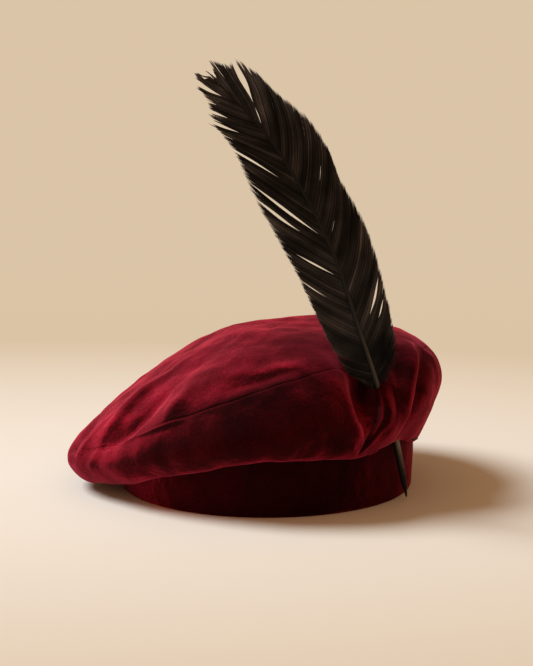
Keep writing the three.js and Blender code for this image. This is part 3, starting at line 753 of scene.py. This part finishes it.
def make_band():
    profile, inner_from = band_profile()
    angle = np.linspace(0, 360, BAND_COLUMNS, endpoint=False)
    a = np.radians(angle)[:, None]
    out, z = profile[:, 0][None], profile[:, 1][None] + 0 * a
    is_outer = (np.arange(len(profile)) < inner_from)[None]
    join_off = degrees_from(angle, BAND_JOIN["angle"])[:, None] * np.radians(1) * BAND["half_depth"]
    join = BAND_JOIN["depth"] * np.exp(-(join_off / BAND_JOIN["half_width"]) ** 2)
    pull = sum(depth * np.sin(times * a + z * slant + phase) for depth, times, slant, phase in PULLS)
    middle_share = np.sin(np.pi * np.clip(z / BAND["height"], 0, 1))
    out = out + np.where(is_outer, pull * middle_share - join, 0)
    points = np.stack([(BAND["half_width"] + out) * np.cos(a), (BAND["half_depth"] + out) * np.sin(a), z], -1)
    count = len(profile)
    faces = grid_faces(BAND_COLUMNS, count, 0)
    for k in range(BAND_COLUMNS):
        here, beyond = k * count, (k + 1) % BAND_COLUMNS * count
        faces.append((here + count - 1, beyond + count - 1, beyond, here))
    piece = make_piece("band", points.reshape(-1, 3), faces, [band_velvet_painted_shade])
    give_numbers(piece, "painted_light_shade", painted_light_and_shade(BAND_PAINTED_LIGHT_AND_SHADE, angle[:, None], z / BAND["height"]))
    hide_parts("headband")
    return piece


band = make_band()

# %% [markdown]
# ## The feather's shaft
#
# A feather has one shaft. Its lower part is the quill, a bare horn tube cut to a point, and above that it
# carries the barbs and thins away to nothing. The middle line is the same curve as in the solid model, and
# places on it are measured from the cut point in millimetres. A curve object with a bevel would make a tube
# at once, but the shaft's section is not round: it is flattened and has a shallow groove on the side that
# the photo shows. So each ring of the tube has its own small outline. A row of the table is a point and the
# radius there.

# %% Shaft curve
SHAFT_ROWS = np.array([
    (89.4, -47, 2.2, 0.5),
    (87.6, -48.6, 12, 1.5),
    (81, -54, 42.5, 1.9),
    (75.4, -58, 60, 1.9),
    (69.4, -62.5, 76.6, 1.8),
    (62.9, -68, 97, 1.6),
    (56.4, -72, 116.2, 1.45),
    (48.6, -75.5, 140.2, 1.25),
    (40.3, -77, 163.6, 1.1),
    (25.2, -76.5, 194.7, 0.95),
    (3.7, -73, 229.5, 0.8),
    (-13.7, -69.5, 249.5, 0.7),
    (-28.5, -66, 264.3, 0.6),
])


def sampled_shaft(samples=120):
    """Close samples of the middle line, their distances from the cut point, and the radius at each."""
    line = np.vstack([2 * SHAFT_ROWS[0] - SHAFT_ROWS[1], SHAFT_ROWS, 2 * SHAFT_ROWS[-1] - SHAFT_ROWS[-2]])
    t = np.linspace(0, 1, samples, endpoint=False)
    spans = [spline(*(line[k + i, :3] + np.zeros((samples, 3)) for i in range(4)), t)
             for k in range(len(SHAFT_ROWS) - 1)]
    radii = [np.interp(t, [0, 1], SHAFT_ROWS[k:k + 2, 3]) for k in range(len(SHAFT_ROWS) - 1)]
    points = np.vstack(spans + [SHAFT_ROWS[-1:, :3]])
    reach = np.concatenate([[0], np.cumsum(np.linalg.norm(np.diff(points, axis=0), axis=1))])
    return points, reach, np.concatenate(radii + [SHAFT_ROWS[-1:, 3]])


SHAFT_POINTS, SHAFT_REACH, SHAFT_RADII = sampled_shaft()
SHAFT_LENGTH = SHAFT_REACH[-1]
SHAFT_HEADINGS = np.gradient(SHAFT_POINTS, SHAFT_REACH, axis=0)
print("shaft length, mm:", round(float(SHAFT_LENGTH), 1))

# %% Places beside the shaft
BARE_QUILL = 80
VANE_LIE = {"left_at_cloth": 34, "right_at_cloth": 0, "above": 14, "settled": 60}


def unit(vectors):
    """The same directions, each with a length of one."""
    return vectors / np.linalg.norm(vectors, axis=-1)[..., None]


def along_shaft(at):
    """The middle line and its heading at distances from the cut point, and straight on past the tip."""
    at = np.asarray(at, float)
    inside = np.clip(at, 0, SHAFT_LENGTH)
    point = np.stack([np.interp(inside, SHAFT_REACH, SHAFT_POINTS[:, i]) for i in range(3)], -1)
    heading = unit(np.stack([np.interp(inside, SHAFT_REACH, SHAFT_HEADINGS[:, i]) for i in range(3)], -1))
    return point + heading * (at - inside)[..., None], heading


def across_shaft(at, side):
    """The way in which the vane of one side lies, at a right angle to the shaft."""
    settled = smooth_step(0, VANE_LIE["settled"], np.asarray(at, float) - BARE_QUILL)
    start = VANE_LIE["left_at_cloth"] if side < 0 else VANE_LIE["right_at_cloth"]
    turn = np.radians(start + (VANE_LIE["above"] - start) * settled)
    across = np.stack([np.cos(turn), np.sin(turn), np.zeros_like(turn)], -1)
    heading = along_shaft(at)[1]
    return unit(across - heading * (across * heading).sum(-1)[..., None])


print("the barbs begin at", along_shaft(BARE_QUILL)[0].round(1).tolist())

# %% [markdown]
# ## Horn and barbs: the materials
#
# The quill is grey-brown horn with a dark point and a dark left side, and the shaft above it turns black.
# The barbs are black-brown, and no two bundles have quite the same tone, which gives a dark feather its
# streaks. Such changes along one piece could be painted on an image. Here they are again numbers at the
# mesh's points: `tone` goes from 0, dark, to 1, light, and a ramp makes a colour of it.

# %% Materials of the feather
def make_horn():
    material, nodes, links, shader = new_material("quill horn")
    place = nodes.new("ShaderNodeTexCoord").outputs["Object"]
    streaks = noise(nodes, links, place, 1500, detail=2, stretch=(1, 1, 0.08))
    horn = ramp(nodes, links, attribute(nodes, "tone"), [
        (0.0, (0.004, 0.0035, 0.003)), (0.35, (0.016, 0.013, 0.010)), (0.7, (0.075, 0.058, 0.040)),
        (1.0, (0.170, 0.135, 0.095))])
    shade = ramp(nodes, links, streaks, greys(0.7, 1.2))
    links.new(mixed(nodes, links, 1.0, horn, shade, "MULTIPLY"), shader.inputs["Base Color"])
    links.new(bump(nodes, links, streaks, 0.00015), shader.inputs["Normal"])
    shader.inputs["Roughness"].default_value = 0.45
    shader.inputs["Specular IOR Level"].default_value = 0.2
    return material


def make_barb_material():
    material, nodes, links, shader = new_material("feather barbs")
    place = nodes.new("ShaderNodeTexCoord").outputs["Object"]
    mottle = noise(nodes, links, place, 90, detail=3)
    barb = ramp(nodes, links, attribute(nodes, "tone"), [
        (0.0, (0.0006, 0.0006, 0.0007)), (0.25, (0.0042, 0.0038, 0.0040)), (0.5, (0.0160, 0.0142, 0.0142)),
        (0.75, (0.052, 0.045, 0.043)), (1.0, (0.150, 0.125, 0.115))])
    shade = ramp(nodes, links, mottle, greys(0.65, 1.3))
    links.new(mixed(nodes, links, 1.0, barb, shade, "MULTIPLY"), shader.inputs["Base Color"])
    shader.inputs["Roughness"].default_value = 0.5
    shader.inputs["Specular IOR Level"].default_value = 0.08
    shader.inputs["Sheen Weight"].default_value = 0.02
    shader.inputs["Sheen Roughness"].default_value = 0.5
    shader.inputs["Sheen Tint"].default_value = (0.55, 0.42, 0.32, 1)
    return material


horn = make_horn()
barbs_material = make_barb_material()
print("materials:", horn.name, barbs_material.name)

# %% Rings of the shaft
NIB = {"length": 10, "hollow": 0.3}
QUILL_FULLER = {"by": 0.3, "up_to": 60, "gone_at": 110}
FLATTENED = 0.15
GROOVE = {"depth": 0.30, "half_width": 0.3}


def shaft_rings(at, turn):
    """A ring of points round the middle line at each distance, one point for each turn."""
    point, heading = along_shaft(at)
    side = across_shaft(at, 1)
    front = np.cross(side, heading)
    fuller = 1 + QUILL_FULLER["by"] * (1 - smooth_step(QUILL_FULLER["up_to"], QUILL_FULLER["gone_at"], at))
    radius = np.interp(at, SHAFT_REACH, SHAFT_RADII) * fuller
    carries_barbs = smooth_step(BARE_QUILL - 6, BARE_QUILL + 10, at)[:, None]
    flat = 1 - FLATTENED * carries_barbs
    in_groove = np.exp(-((np.cos(turn) / GROOVE["half_width"]) ** 2)) * (np.sin(turn) > 0)
    groove = GROOVE["depth"] * carries_barbs * in_groove
    nib = NIB["hollow"] * (1 - smooth_step(0, NIB["length"], at))[:, None]
    pared = nib * smooth_step(0.2, -0.9, np.cos(turn))[None]
    reach = radius[:, None] * (1 - groove)
    x = reach * np.cos(turn)[None] * (1 - pared)
    y = reach * np.sin(turn)[None] * flat
    return point[:, None] + side[:, None] * x[..., None] + front[:, None] * y[..., None]


print("widest quill, mm:", round(2 * float(SHAFT_RADII.max()) * (1 + QUILL_FULLER["by"]), 2))

# %% Shaft mesh
SHAFT_RINGS = 260
SHAFT_SIDES = 14
DARK_SIDE = 0.95
QUILL_TONES = [
    (0, 0), (14, 0), (22, 0.5), (36, 0.95), (60, 0.8), (84, 0.65), (105, 0.6), (125, 0.4), (150, 0.2),
    (300, 0.15)]


def make_shaft():
    at = np.linspace(0, SHAFT_LENGTH, SHAFT_RINGS)
    turn = 2 * np.pi * (np.arange(SHAFT_SIDES) + 0.5) / SHAFT_SIDES
    points = shaft_rings(at, turn)
    count = SHAFT_RINGS * SHAFT_SIDES
    last = count - SHAFT_SIDES
    sides = [(i, (i + 1) % SHAFT_SIDES) for i in range(SHAFT_SIDES)]
    faces = []
    for ring in range(0, last, SHAFT_SIDES):
        beyond = ring + SHAFT_SIDES
        faces += [(ring + i, ring + n, beyond + n, beyond + i) for i, n in sides]
    faces += [(n, i, count) for i, n in sides]
    faces += [(last + i, last + n, count + 1) for i, n in sides]
    ends = along_shaft(np.array([-0.8, SHAFT_LENGTH + 1]))[0]
    piece = make_piece("feather_shaft", np.vstack([points.reshape(-1, 3), ends]), faces, [horn])
    lightness = np.interp(at, *zip(*QUILL_TONES))
    darkened = 1 - DARK_SIDE * smooth_step(0.3, -0.3, np.cos(turn))
    tones = lightness[:, None] * darkened[None]
    give_numbers(piece, "tone", np.concatenate([tones.ravel(), [0, 0.1]]))
    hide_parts("feather")
    return piece


feather_shaft = make_shaft()

# %% [markdown]
# ## Barbs
#
# A vane is not a sheet. It is several hundred barbs, each a flat hair that leaves the shaft steeply and
# bends towards the tip, hooked to the next one so that they make a closed surface. Where the hooks let go,
# the vane splits, and at the edge and the tip it frays. A transparent picture on a plane can fool the eye
# from one side only, so here every barb is a thin three-sided blade, made by one function on whole arrays at
# once.
#
# `LEFT_BARBS` and `RIGHT_BARBS` say where barbs end: from a root, in millimetres up from the lowest barb,
# how far up the shaft and how far off it. `SPLITS` lists the gaps: at which root a gap lies, where along the
# barbs it begins, is widest and closes, how wide it is, and how far from it the barbs still make room. A gap
# that would close past `RUNS_OUT` stays open to the edge. `CLUMPS` lists tufts: barbs that are longer or
# shorter than the others there, and how far they gather at their ends.

# %% Ends of the barbs
BARB_COLUMNS = ("root", "end", "off")
LEFT_BARBS = np.array([
    (0, 9, 10), (4, 17, 16), (12, 31, 19), (28, 54, 22), (51, 80, 24.7), (71, 106, 27), (88, 137, 28),
    (97, 155, 26.2), (137, 183, 21), (163, 198, 20), (176, 205, 16.5), (190, 217, 11.5), (206, 225, 8.5),
    (219, 229, 2),
])
RIGHT_BARBS = np.array([
    (0, 8, 5.5), (3, 19, 17), (8, 28, 20), (20, 47, 23), (35, 72, 25), (60, 100, 26.6), (90, 129, 25),
    (108, 147, 29), (125, 166, 29.5), (150, 189, 24.5), (164, 208, 24.4), (176, 223, 17.5), (188, 228, 9),
    (219, 230, 0),
])
TOP_ROOT = 219
print("barbs grow on", TOP_ROOT, "mm of the shaft")

# %% Splits and tufts
RUNS_OUT = 1.4
SPLIT_COLUMNS = ("side", "root", "start", "widest", "end", "gap", "reach")
SPLITS = [
    (-1, 13.5, 0.30, 0.80, 1.5, 0.4, 4),
    (-1, 54.4, 0.36, 0.72, 1.15, 0.45, 4),
    (-1, 74.3, 0.0, 0.40, 0.82, 0.75, 5),
    (-1, 92.0, 0.34, 0.70, 1.10, 1.1, 5),
    (-1, 99.8, 0.05, 0.52, 1.12, 2.0, 8),
    (-1, 132.0, 0.25, 0.80, 1.5, 1.7, 8),
    (-1, 142.8, 0.86, 1.0, 1.6, 0.8, 2),
    (-1, 151.5, 0.72, 1.0, 1.6, 1.0, 4),
    (-1, 166.5, 0.52, 0.95, 1.6, 1.9, 5),
    (-1, 178.0, 0.55, 0.95, 1.6, 1.4, 5),
    (-1, 186.0, 0.70, 1.0, 1.6, 0.9, 3),
    (-1, 200.5, 0.30, 0.95, 1.7, 4.8, 6),
    (-1, 217.0, 0.55, 0.95, 1.7, 1.6, 3),
    (1, 26.8, 0.46, 0.66, 0.88, 0.7, 3),
    (1, 35.2, 0.24, 0.60, 0.92, 1.3, 5),
    (1, 98.0, 0.05, 0.22, 0.38, 0.25, 3),
    (1, 119.0, 0.28, 0.46, 0.66, 0.3, 3),
    (1, 122.0, 0.86, 1.0, 1.6, 0.7, 3),
    (1, 176.5, 0.05, 0.2, 0.36, 0.7, 3),
    (1, 176.5, 0.30, 0.72, 1.25, 2.6, 14),
    (1, 193.0, 0.45, 0.85, 1.6, 1.0, 4),
]
CLUMP_COLUMNS = ("side", "root", "half_width", "longer", "gather")
CLUMPS = [
    (-1, 211, 10, 0.24, 0.9),
    (-1, 195.5, 4.5, 0.14, 0.75),
    (-1, 173, 4.5, 0.10, 0.6),
    (-1, 161, 4.5, 0.14, 0.7),
    (-1, 147, 3.5, 0.03, 0.6),
    (-1, 137.5, 3, 0.03, 0.6),
    (1, 212, 8, -0.5, 0),
    (1, 198.5, 5, 0.08, 0.8),
    (1, 180, 5, -0.09, 0),
    (1, 172, 7, 0.06, 0.35),
]
print(len(SPLITS), "splits and", len(CLUMPS), "tufts")

# %% [markdown]
# ## Where each barb runs
#
# Each barb could be a drawn curve, but a thousand of them have to lie close together without crossing. So a
# barb is first worked out in two numbers, its root and its share of the way to the edge, and only then laid
# off the shaft. Splits and tufts move the roots, never points in space, which keeps neighbours in order.
# Short random splits near the edge, from a fixed seed, make the fringe.

# %% Moving the roots
LEAN = 2.0  # a gap across the barbs is about twice as long when it is measured along the shaft


def column_at(table, column, root):
    """A column of a barb table at any root, straight between its rows and past its ends."""
    roots, values = table[:, 0], table[:, BARB_COLUMNS.index(column)]
    low = values[0] + (root - roots[0]) * (values[1] - values[0]) / (roots[1] - roots[0])
    high = values[-1] + (root - roots[-1]) * (values[-1] - values[-2]) / (roots[-1] - roots[-2])
    return np.where(root < roots[0], low, np.where(root > roots[-1], high, np.interp(root, roots, values)))


def fringe_splits(side, random):
    """Short random splits at the edge, more and deeper ones near the tip."""
    splits = []
    root = 0.0
    while root < TOP_ROOT:
        root += random.uniform(1.5, 6.5)
        near_tip = smooth_step(140, 205, root)
        splits.append((side, root, random.uniform(0.82, 0.93) - 0.12 * near_tip, 1.04, 1.7,
                       random.uniform(0.1, 0.5) * (1 + 0.8 * near_tip), random.uniform(0.6, 1.6)))
    return splits


def parted(root, share, splits):
    """Moves barbs away from the splits beside them."""
    moved = root + np.zeros_like(share)
    for row in splits:
        s = dict(zip(SPLIT_COLUMNS, row))
        closed = 0 if s["end"] > RUNS_OUT else smooth_step(s["widest"], s["end"], share)
        open_by = smooth_step(s["start"], s["widest"], share) * (1 - closed)
        off = root - s["root"]
        moved = moved + np.sign(off) * 0.5 * LEAN * s["gap"] * open_by * np.exp(-np.abs(off) / s["reach"])
    return moved


def waves(values, sizes, random):
    """A smooth random number for each value: a sum of waves of about these lengths."""
    total = 0
    for size in sizes:
        length = size * random.uniform(0.8, 1.25)
        total = total + np.sin(values * 2 * np.pi / length + random.uniform(0, 7))
    return total / len(sizes)


print("at root 100 the left barbs reach", column_at(LEFT_BARBS, "off", 100).round(1), "mm off the shaft")

# %% Lines of the barbs
BARB_STEPS = 13
BARB_BEND = 0.3
RAGGED = {"waves": 0.03, "single": 0.008}
CURL = {"lift": 3.5, "at_width": 28}
WAVY = {"waves": 0.35, "single": 0.05}


def vane_points(side, roots, random):
    """The barbs' middle lines, their shares of the way to the edge, and the direction that is the front."""
    table = LEFT_BARBS if side < 0 else RIGHT_BARBS
    splits = [row for row in SPLITS if row[0] == side] + fringe_splits(side, random)
    ragged = RAGGED["waves"] * waves(roots, (3.1, 5.3, 9), random)
    ragged = ragged + random.normal(0, RAGGED["single"], len(roots))
    clumps = [dict(zip(CLUMP_COLUMNS, row)) for row in CLUMPS if row[0] == side]
    for c in clumps:
        ragged += c["longer"] * np.exp(-((roots - c["root"]) / c["half_width"]) ** 2)
    share = np.linspace(0, 1, BARB_STEPS + 1)[None] * (1.0 + ragged)[:, None]
    root = parted(roots[:, None], share, splits)
    for c in clumps:
        off = roots - c["root"]
        pull = c["gather"] * off * np.exp(-(off / c["half_width"]) ** 8)
        root = root - pull[:, None] * smooth_step(0.3, 1.0, share)
    end = column_at(table, "end", root)
    off = column_at(table, "off", root) * share * (1 + BARB_BEND - BARB_BEND * share)
    off = np.maximum(off, 0) + random.normal(0, WAVY["single"], len(roots))[:, None] * share
    at = BARE_QUILL + root * (1 - share) + end * share
    across = across_shaft(at, side)
    point, heading = along_shaft(at)
    back = -np.cross(across, heading)
    lift = CURL["lift"] * (off / CURL["at_width"]) ** 2
    wave = WAVY["waves"] * waves(roots[:, None] - 14 * share, (7, 13, 23), random)
    lift += wave * smooth_step(0.05, 0.6, share)
    lift += random.normal(0, WAVY["single"], len(roots))[:, None] * share
    return point + across * (side * off)[..., None] + back * lift[..., None], share, -back


print("each barb is worked out at", BARB_STEPS + 1, "points")

# %% [markdown]
# ## Blades
#
# A real barb is a flat hair with a slight ridge. Each blade has three sides and runs out in a point, and it
# is closed all round, so it is as good from behind. Its width is nearly three times the distance to its
# nearer neighbour, so the vane is closed wherever the barbs lie side by side. Hair curves would be lighter,
# but the exported model has to be made of faces.
#
# The tone of a barb is a sum: a base that changes up the feather, long and short waves that make streaks of
# neighbouring barbs, a little of its own, and a painted sheen that makes the vane's thin edge lighter.

# %% Blades
BLADE = {"overlap": 2.8, "narrowest": 0.24, "widest": 0.6, "thick": 0.13}
POINTED = {"from": 0.86, "by": 0.7}


def blades(lines, front, share, width, thick):
    """Closed three-sided blades along the lines, each with one ridge on its front and a point at its end."""
    count, steps = lines.shape[:2]
    heading = unit(np.gradient(lines, axis=1))
    flat = unit(np.cross(heading, front))
    taper = 1 - POINTED["by"] * smooth_step(POINTED["from"], 1.0, share / share[:, -1:])
    half = (width * taper / 2)[..., None]
    ridge = front * (thick * taper)[..., None]
    rings = np.stack([lines - flat * half, lines + flat * half, lines + ridge], 2)[:, :-1]
    tips = lines[:, -1]
    per_barb = (steps - 1) * 3 + 1
    points = np.concatenate([rings.reshape(count, -1, 3), tips[:, None]], 1).reshape(-1, 3)
    one = [(2, 1, 0)]
    for k in range(steps - 2):
        one += [(3 * k + i, 3 * k + (i + 1) % 3, 3 * k + 3 + (i + 1) % 3, 3 * k + 3 + i) for i in range(3)]
    last = 3 * (steps - 2)
    one += [(last + i, last + (i + 1) % 3, per_barb - 1) for i in range(3)]
    faces = [tuple(v + b * per_barb for v in face) for b in range(count) for face in one]
    return points, faces


def gaps_between(lines, front):
    """How far each barb is from its nearer neighbour, across the barbs."""
    flat = unit(np.cross(unit(np.gradient(lines, axis=1)), front))
    step = np.abs((np.diff(lines, axis=0) * flat[:-1]).sum(-1))
    before = np.concatenate([step[:1], step])
    after = np.concatenate([step, step[-1:]])
    return np.minimum(before, after)


print("blades are", BLADE["narrowest"], "to", BLADE["widest"], "mm wide")

# %% Vanes
BARB_SPACING = 0.21
BARB_UNEVEN = 0.03
VANE_TONES = {
    -1: [(0, 0.18), (20, 0.3), (50, 0.56), (80, 0.5), (120, 0.42), (165, 0.38), (200, 0.52), (225, 0.68)],
    1: [(0, 0.14), (20, 0.32), (45, 0.54), (70, 0.5), (110, 0.42), (150, 0.46), (185, 0.5), (215, 0.66)],
}
EDGE_PAINTED_SHEEN = {-1: 0.10, 1: 0.16}
STREAKS = {"neighbours": 0.26, "single": 0.13, "along": 0.12}


def make_vane(name, side, seed):
    random = np.random.default_rng(seed)
    roots = np.arange(-1.0, TOP_ROOT, BARB_SPACING)
    roots = roots + random.normal(0, BARB_UNEVEN, len(roots))
    lines, share, front = vane_points(side, roots, random)
    width = np.clip(BLADE["overlap"] * gaps_between(lines, front), BLADE["narrowest"], BLADE["widest"])
    points, faces = blades(lines, front, share, width, BLADE["thick"])
    piece = make_piece(name, points, faces, [barbs_material])
    streak = STREAKS["neighbours"] * waves(roots, (3.5, 8, 15, 31), random)
    streak = streak + random.normal(0, STREAKS["single"], len(roots))
    tones = streak[:, None] + STREAKS["along"] * waves(roots[:, None] + 20 * share, (19, 31), random)
    tones = tones + np.interp(roots[:, None] + 25 * share, *zip(*VANE_TONES[side]))
    # Painted sheen: the outer part of each barb is made lighter.
    tones = np.clip(tones + EDGE_PAINTED_SHEEN[side] * smooth_step(0.6, 1.0, share), 0, 1)
    rings = np.repeat(tones[:, :-1], 3, axis=1)
    give_numbers(piece, "tone", np.concatenate([rings, tones[:, -1:]], 1))
    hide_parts("feather")
    return piece


left_vane = make_vane("feather_left_vane", -1, 11)
right_vane = make_vane("feather_right_vane", 1, 12)

# %% [markdown]
# ## Loose down at the foot of the vane
#
# The lowest barbs have no hooks. They are soft and curl freely beside the quill, and on the right they stand
# well away from the vane. Blender's hair could grow them, but the same blades as in the vanes will do, with
# more wave and less order, and are faces from the start.

# %% Down
DOWN = [
    {"side": 1, "count": 90, "low": -3, "high": 12, "length": 30, "spread": 20},
    {"side": -1, "count": 36, "low": -2.5, "high": 5, "length": 13, "spread": 10},
]
DOWN_HAIR = {"width": 0.16, "thick": 0.1, "tone": 0.38}


def down_lines(tuft, random):
    """The middle lines of one tuft's hairs, their shares, and the direction that is the front."""
    count = tuft["count"]
    roots = np.sort(random.uniform(tuft["low"], tuft["high"], count))[:, None]
    share = np.linspace(0, 1, BARB_STEPS + 1)[None] * random.uniform(0.55, 1.0, count)[:, None]
    off = tuft["spread"] * random.uniform(0.55, 1.05, count)[:, None] * np.sin(share * 1.5) / math.sin(1.5)
    rise = tuft["length"] * random.uniform(0.6, 1.1, count)[:, None] * share**1.25
    curl = random.uniform(0.2, 0.9, count)[:, None] * np.sin(share * random.uniform(5, 11, count)[:, None])
    at = BARE_QUILL + roots + rise + curl * share
    across = across_shaft(at, tuft["side"])
    point, heading = along_shaft(at)
    back = -np.cross(across, heading)
    lift = random.normal(0.0, 0.9, count)[:, None] * share
    lines = point + across * (tuft["side"] * (off + curl * share))[..., None] + back * lift[..., None]
    return lines, share, -back


def make_down():
    random = np.random.default_rng(5)
    tufts = [down_lines(tuft, random) for tuft in DOWN]
    lines, share, front = (np.concatenate([tuft[i] for tuft in tufts]) for i in range(3))
    width = np.full(share.shape, DOWN_HAIR["width"])
    points, faces = blades(lines, front, share, width, DOWN_HAIR["thick"])
    piece = make_piece("feather_down", points, faces, [barbs_material])
    give_numbers(piece, "tone", np.full(len(points), DOWN_HAIR["tone"]))
    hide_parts("feather")
    return piece


feather_down = make_down()

# %% [markdown]
# ## Floor and light
#
# The hat stands on a wide pale sheet in a plain studio. The sun lamp stands for a large soft window on the
# left, a little behind the hat: its wide angle makes the shadow's edge soft, and the side of the hat that
# faces the camera stays dark, as velvet against the light does. The light of a window fades with distance,
# but a sun lamp's doesn't, so a pool of light is painted into the sheet's colour: pale beside the hat and
# falling off to the tan of the backdrop. A wall behind the hat would do that too, but it would hide the hat
# from the back. The world gives the brown light that comes back from the room, and shows the camera the
# backdrop's tan above the horizon.

# %% Floor
PAINTED_POOL_MIDDLE = (-0.22, 0.02)
PAINTED_POOL_STRETCH = (0.55, 1.0)
BACKDROP = (0.707, 0.558, 0.391)
# A painted pool of light: the sheet's colour by distance from the pool's middle.
PAINTED_POOL_STOPS = [
    (0.00, (0.900, 0.900, 0.870)), (0.14, (0.860, 0.850, 0.810)), (0.26, (0.800, 0.770, 0.710)),
    (0.36, (0.740, 0.690, 0.600)), (0.48, (0.660, 0.600, 0.480)), (1.00, (0.660, 0.605, 0.490))]
SHEET_SIZE = 60


def make_sheet_material():
    material, nodes, links, shader = new_material("pale sheet")
    place = nodes.new("ShaderNodeTexCoord").outputs["Object"]
    mapping = nodes.new("ShaderNodeMapping")
    mapping.inputs["Location"].default_value = (*(-m * s for m, s in zip(PAINTED_POOL_MIDDLE, PAINTED_POOL_STRETCH)), 0)
    mapping.inputs["Scale"].default_value = (*PAINTED_POOL_STRETCH, 1)
    links.new(place, mapping.inputs["Vector"])
    distance = nodes.new("ShaderNodeVectorMath")
    distance.operation = "LENGTH"
    links.new(mapping.outputs["Vector"], distance.inputs[0])
    links.new(ramp(nodes, links, distance.outputs["Value"], PAINTED_POOL_STOPS), shader.inputs["Base Color"])
    shader.inputs["Roughness"].default_value = 1.0
    shader.inputs["Specular IOR Level"].default_value = 0.0
    return material


def make_sheet():
    half = SHEET_SIZE / 2
    mesh = bpy.data.meshes.new("studio_sheet")
    corners = [(-half, -half, 0), (half, -half, 0), (half, half, 0), (-half, half, 0)]
    mesh.from_pydata(corners, [], [(0, 1, 2, 3)])
    mesh.materials.append(make_sheet_material())
    sheet = bpy.data.objects.new("studio_sheet", mesh)
    sheet.location = BAND_MIDDLE
    bpy.context.collection.objects.link(sheet)
    return sheet


studio_sheet = make_sheet()
print("sheet:", SHEET_SIZE, "metres square")

# %% Lights
SUN = {"from": 169.5, "above": 50, "angle": 28, "strength": 2.85, "colour": (0.97, 1.0, 0.98)}
ROOM = (0.40, 0.225, 0.115)


def make_sun():
    data = bpy.data.lights.new("window", "SUN")
    data.energy = SUN["strength"]
    data.color = SUN["colour"]
    data.angle = math.radians(SUN["angle"])
    lamp = bpy.data.objects.new("window", data)
    bpy.context.collection.objects.link(lamp)
    lamp.rotation_euler = (0, math.radians(90 - SUN["above"]), math.radians(SUN["from"]))
    return lamp


def make_world():
    world = bpy.data.worlds.new("room")
    world.use_nodes = True
    nodes, links = world.node_tree.nodes, world.node_tree.links
    seen_by = nodes.new("ShaderNodeLightPath").outputs["Is Camera Ray"]
    tone = mixed(nodes, links, seen_by, ROOM, BACKDROP)
    links.new(tone, nodes["Background"].inputs["Color"])
    bpy.context.scene.world = world


window = make_sun()
make_world()
bpy.context.scene.view_settings.view_transform = "Standard"
print("sun from", SUN["from"], "degrees,", SUN["above"], "above the floor")
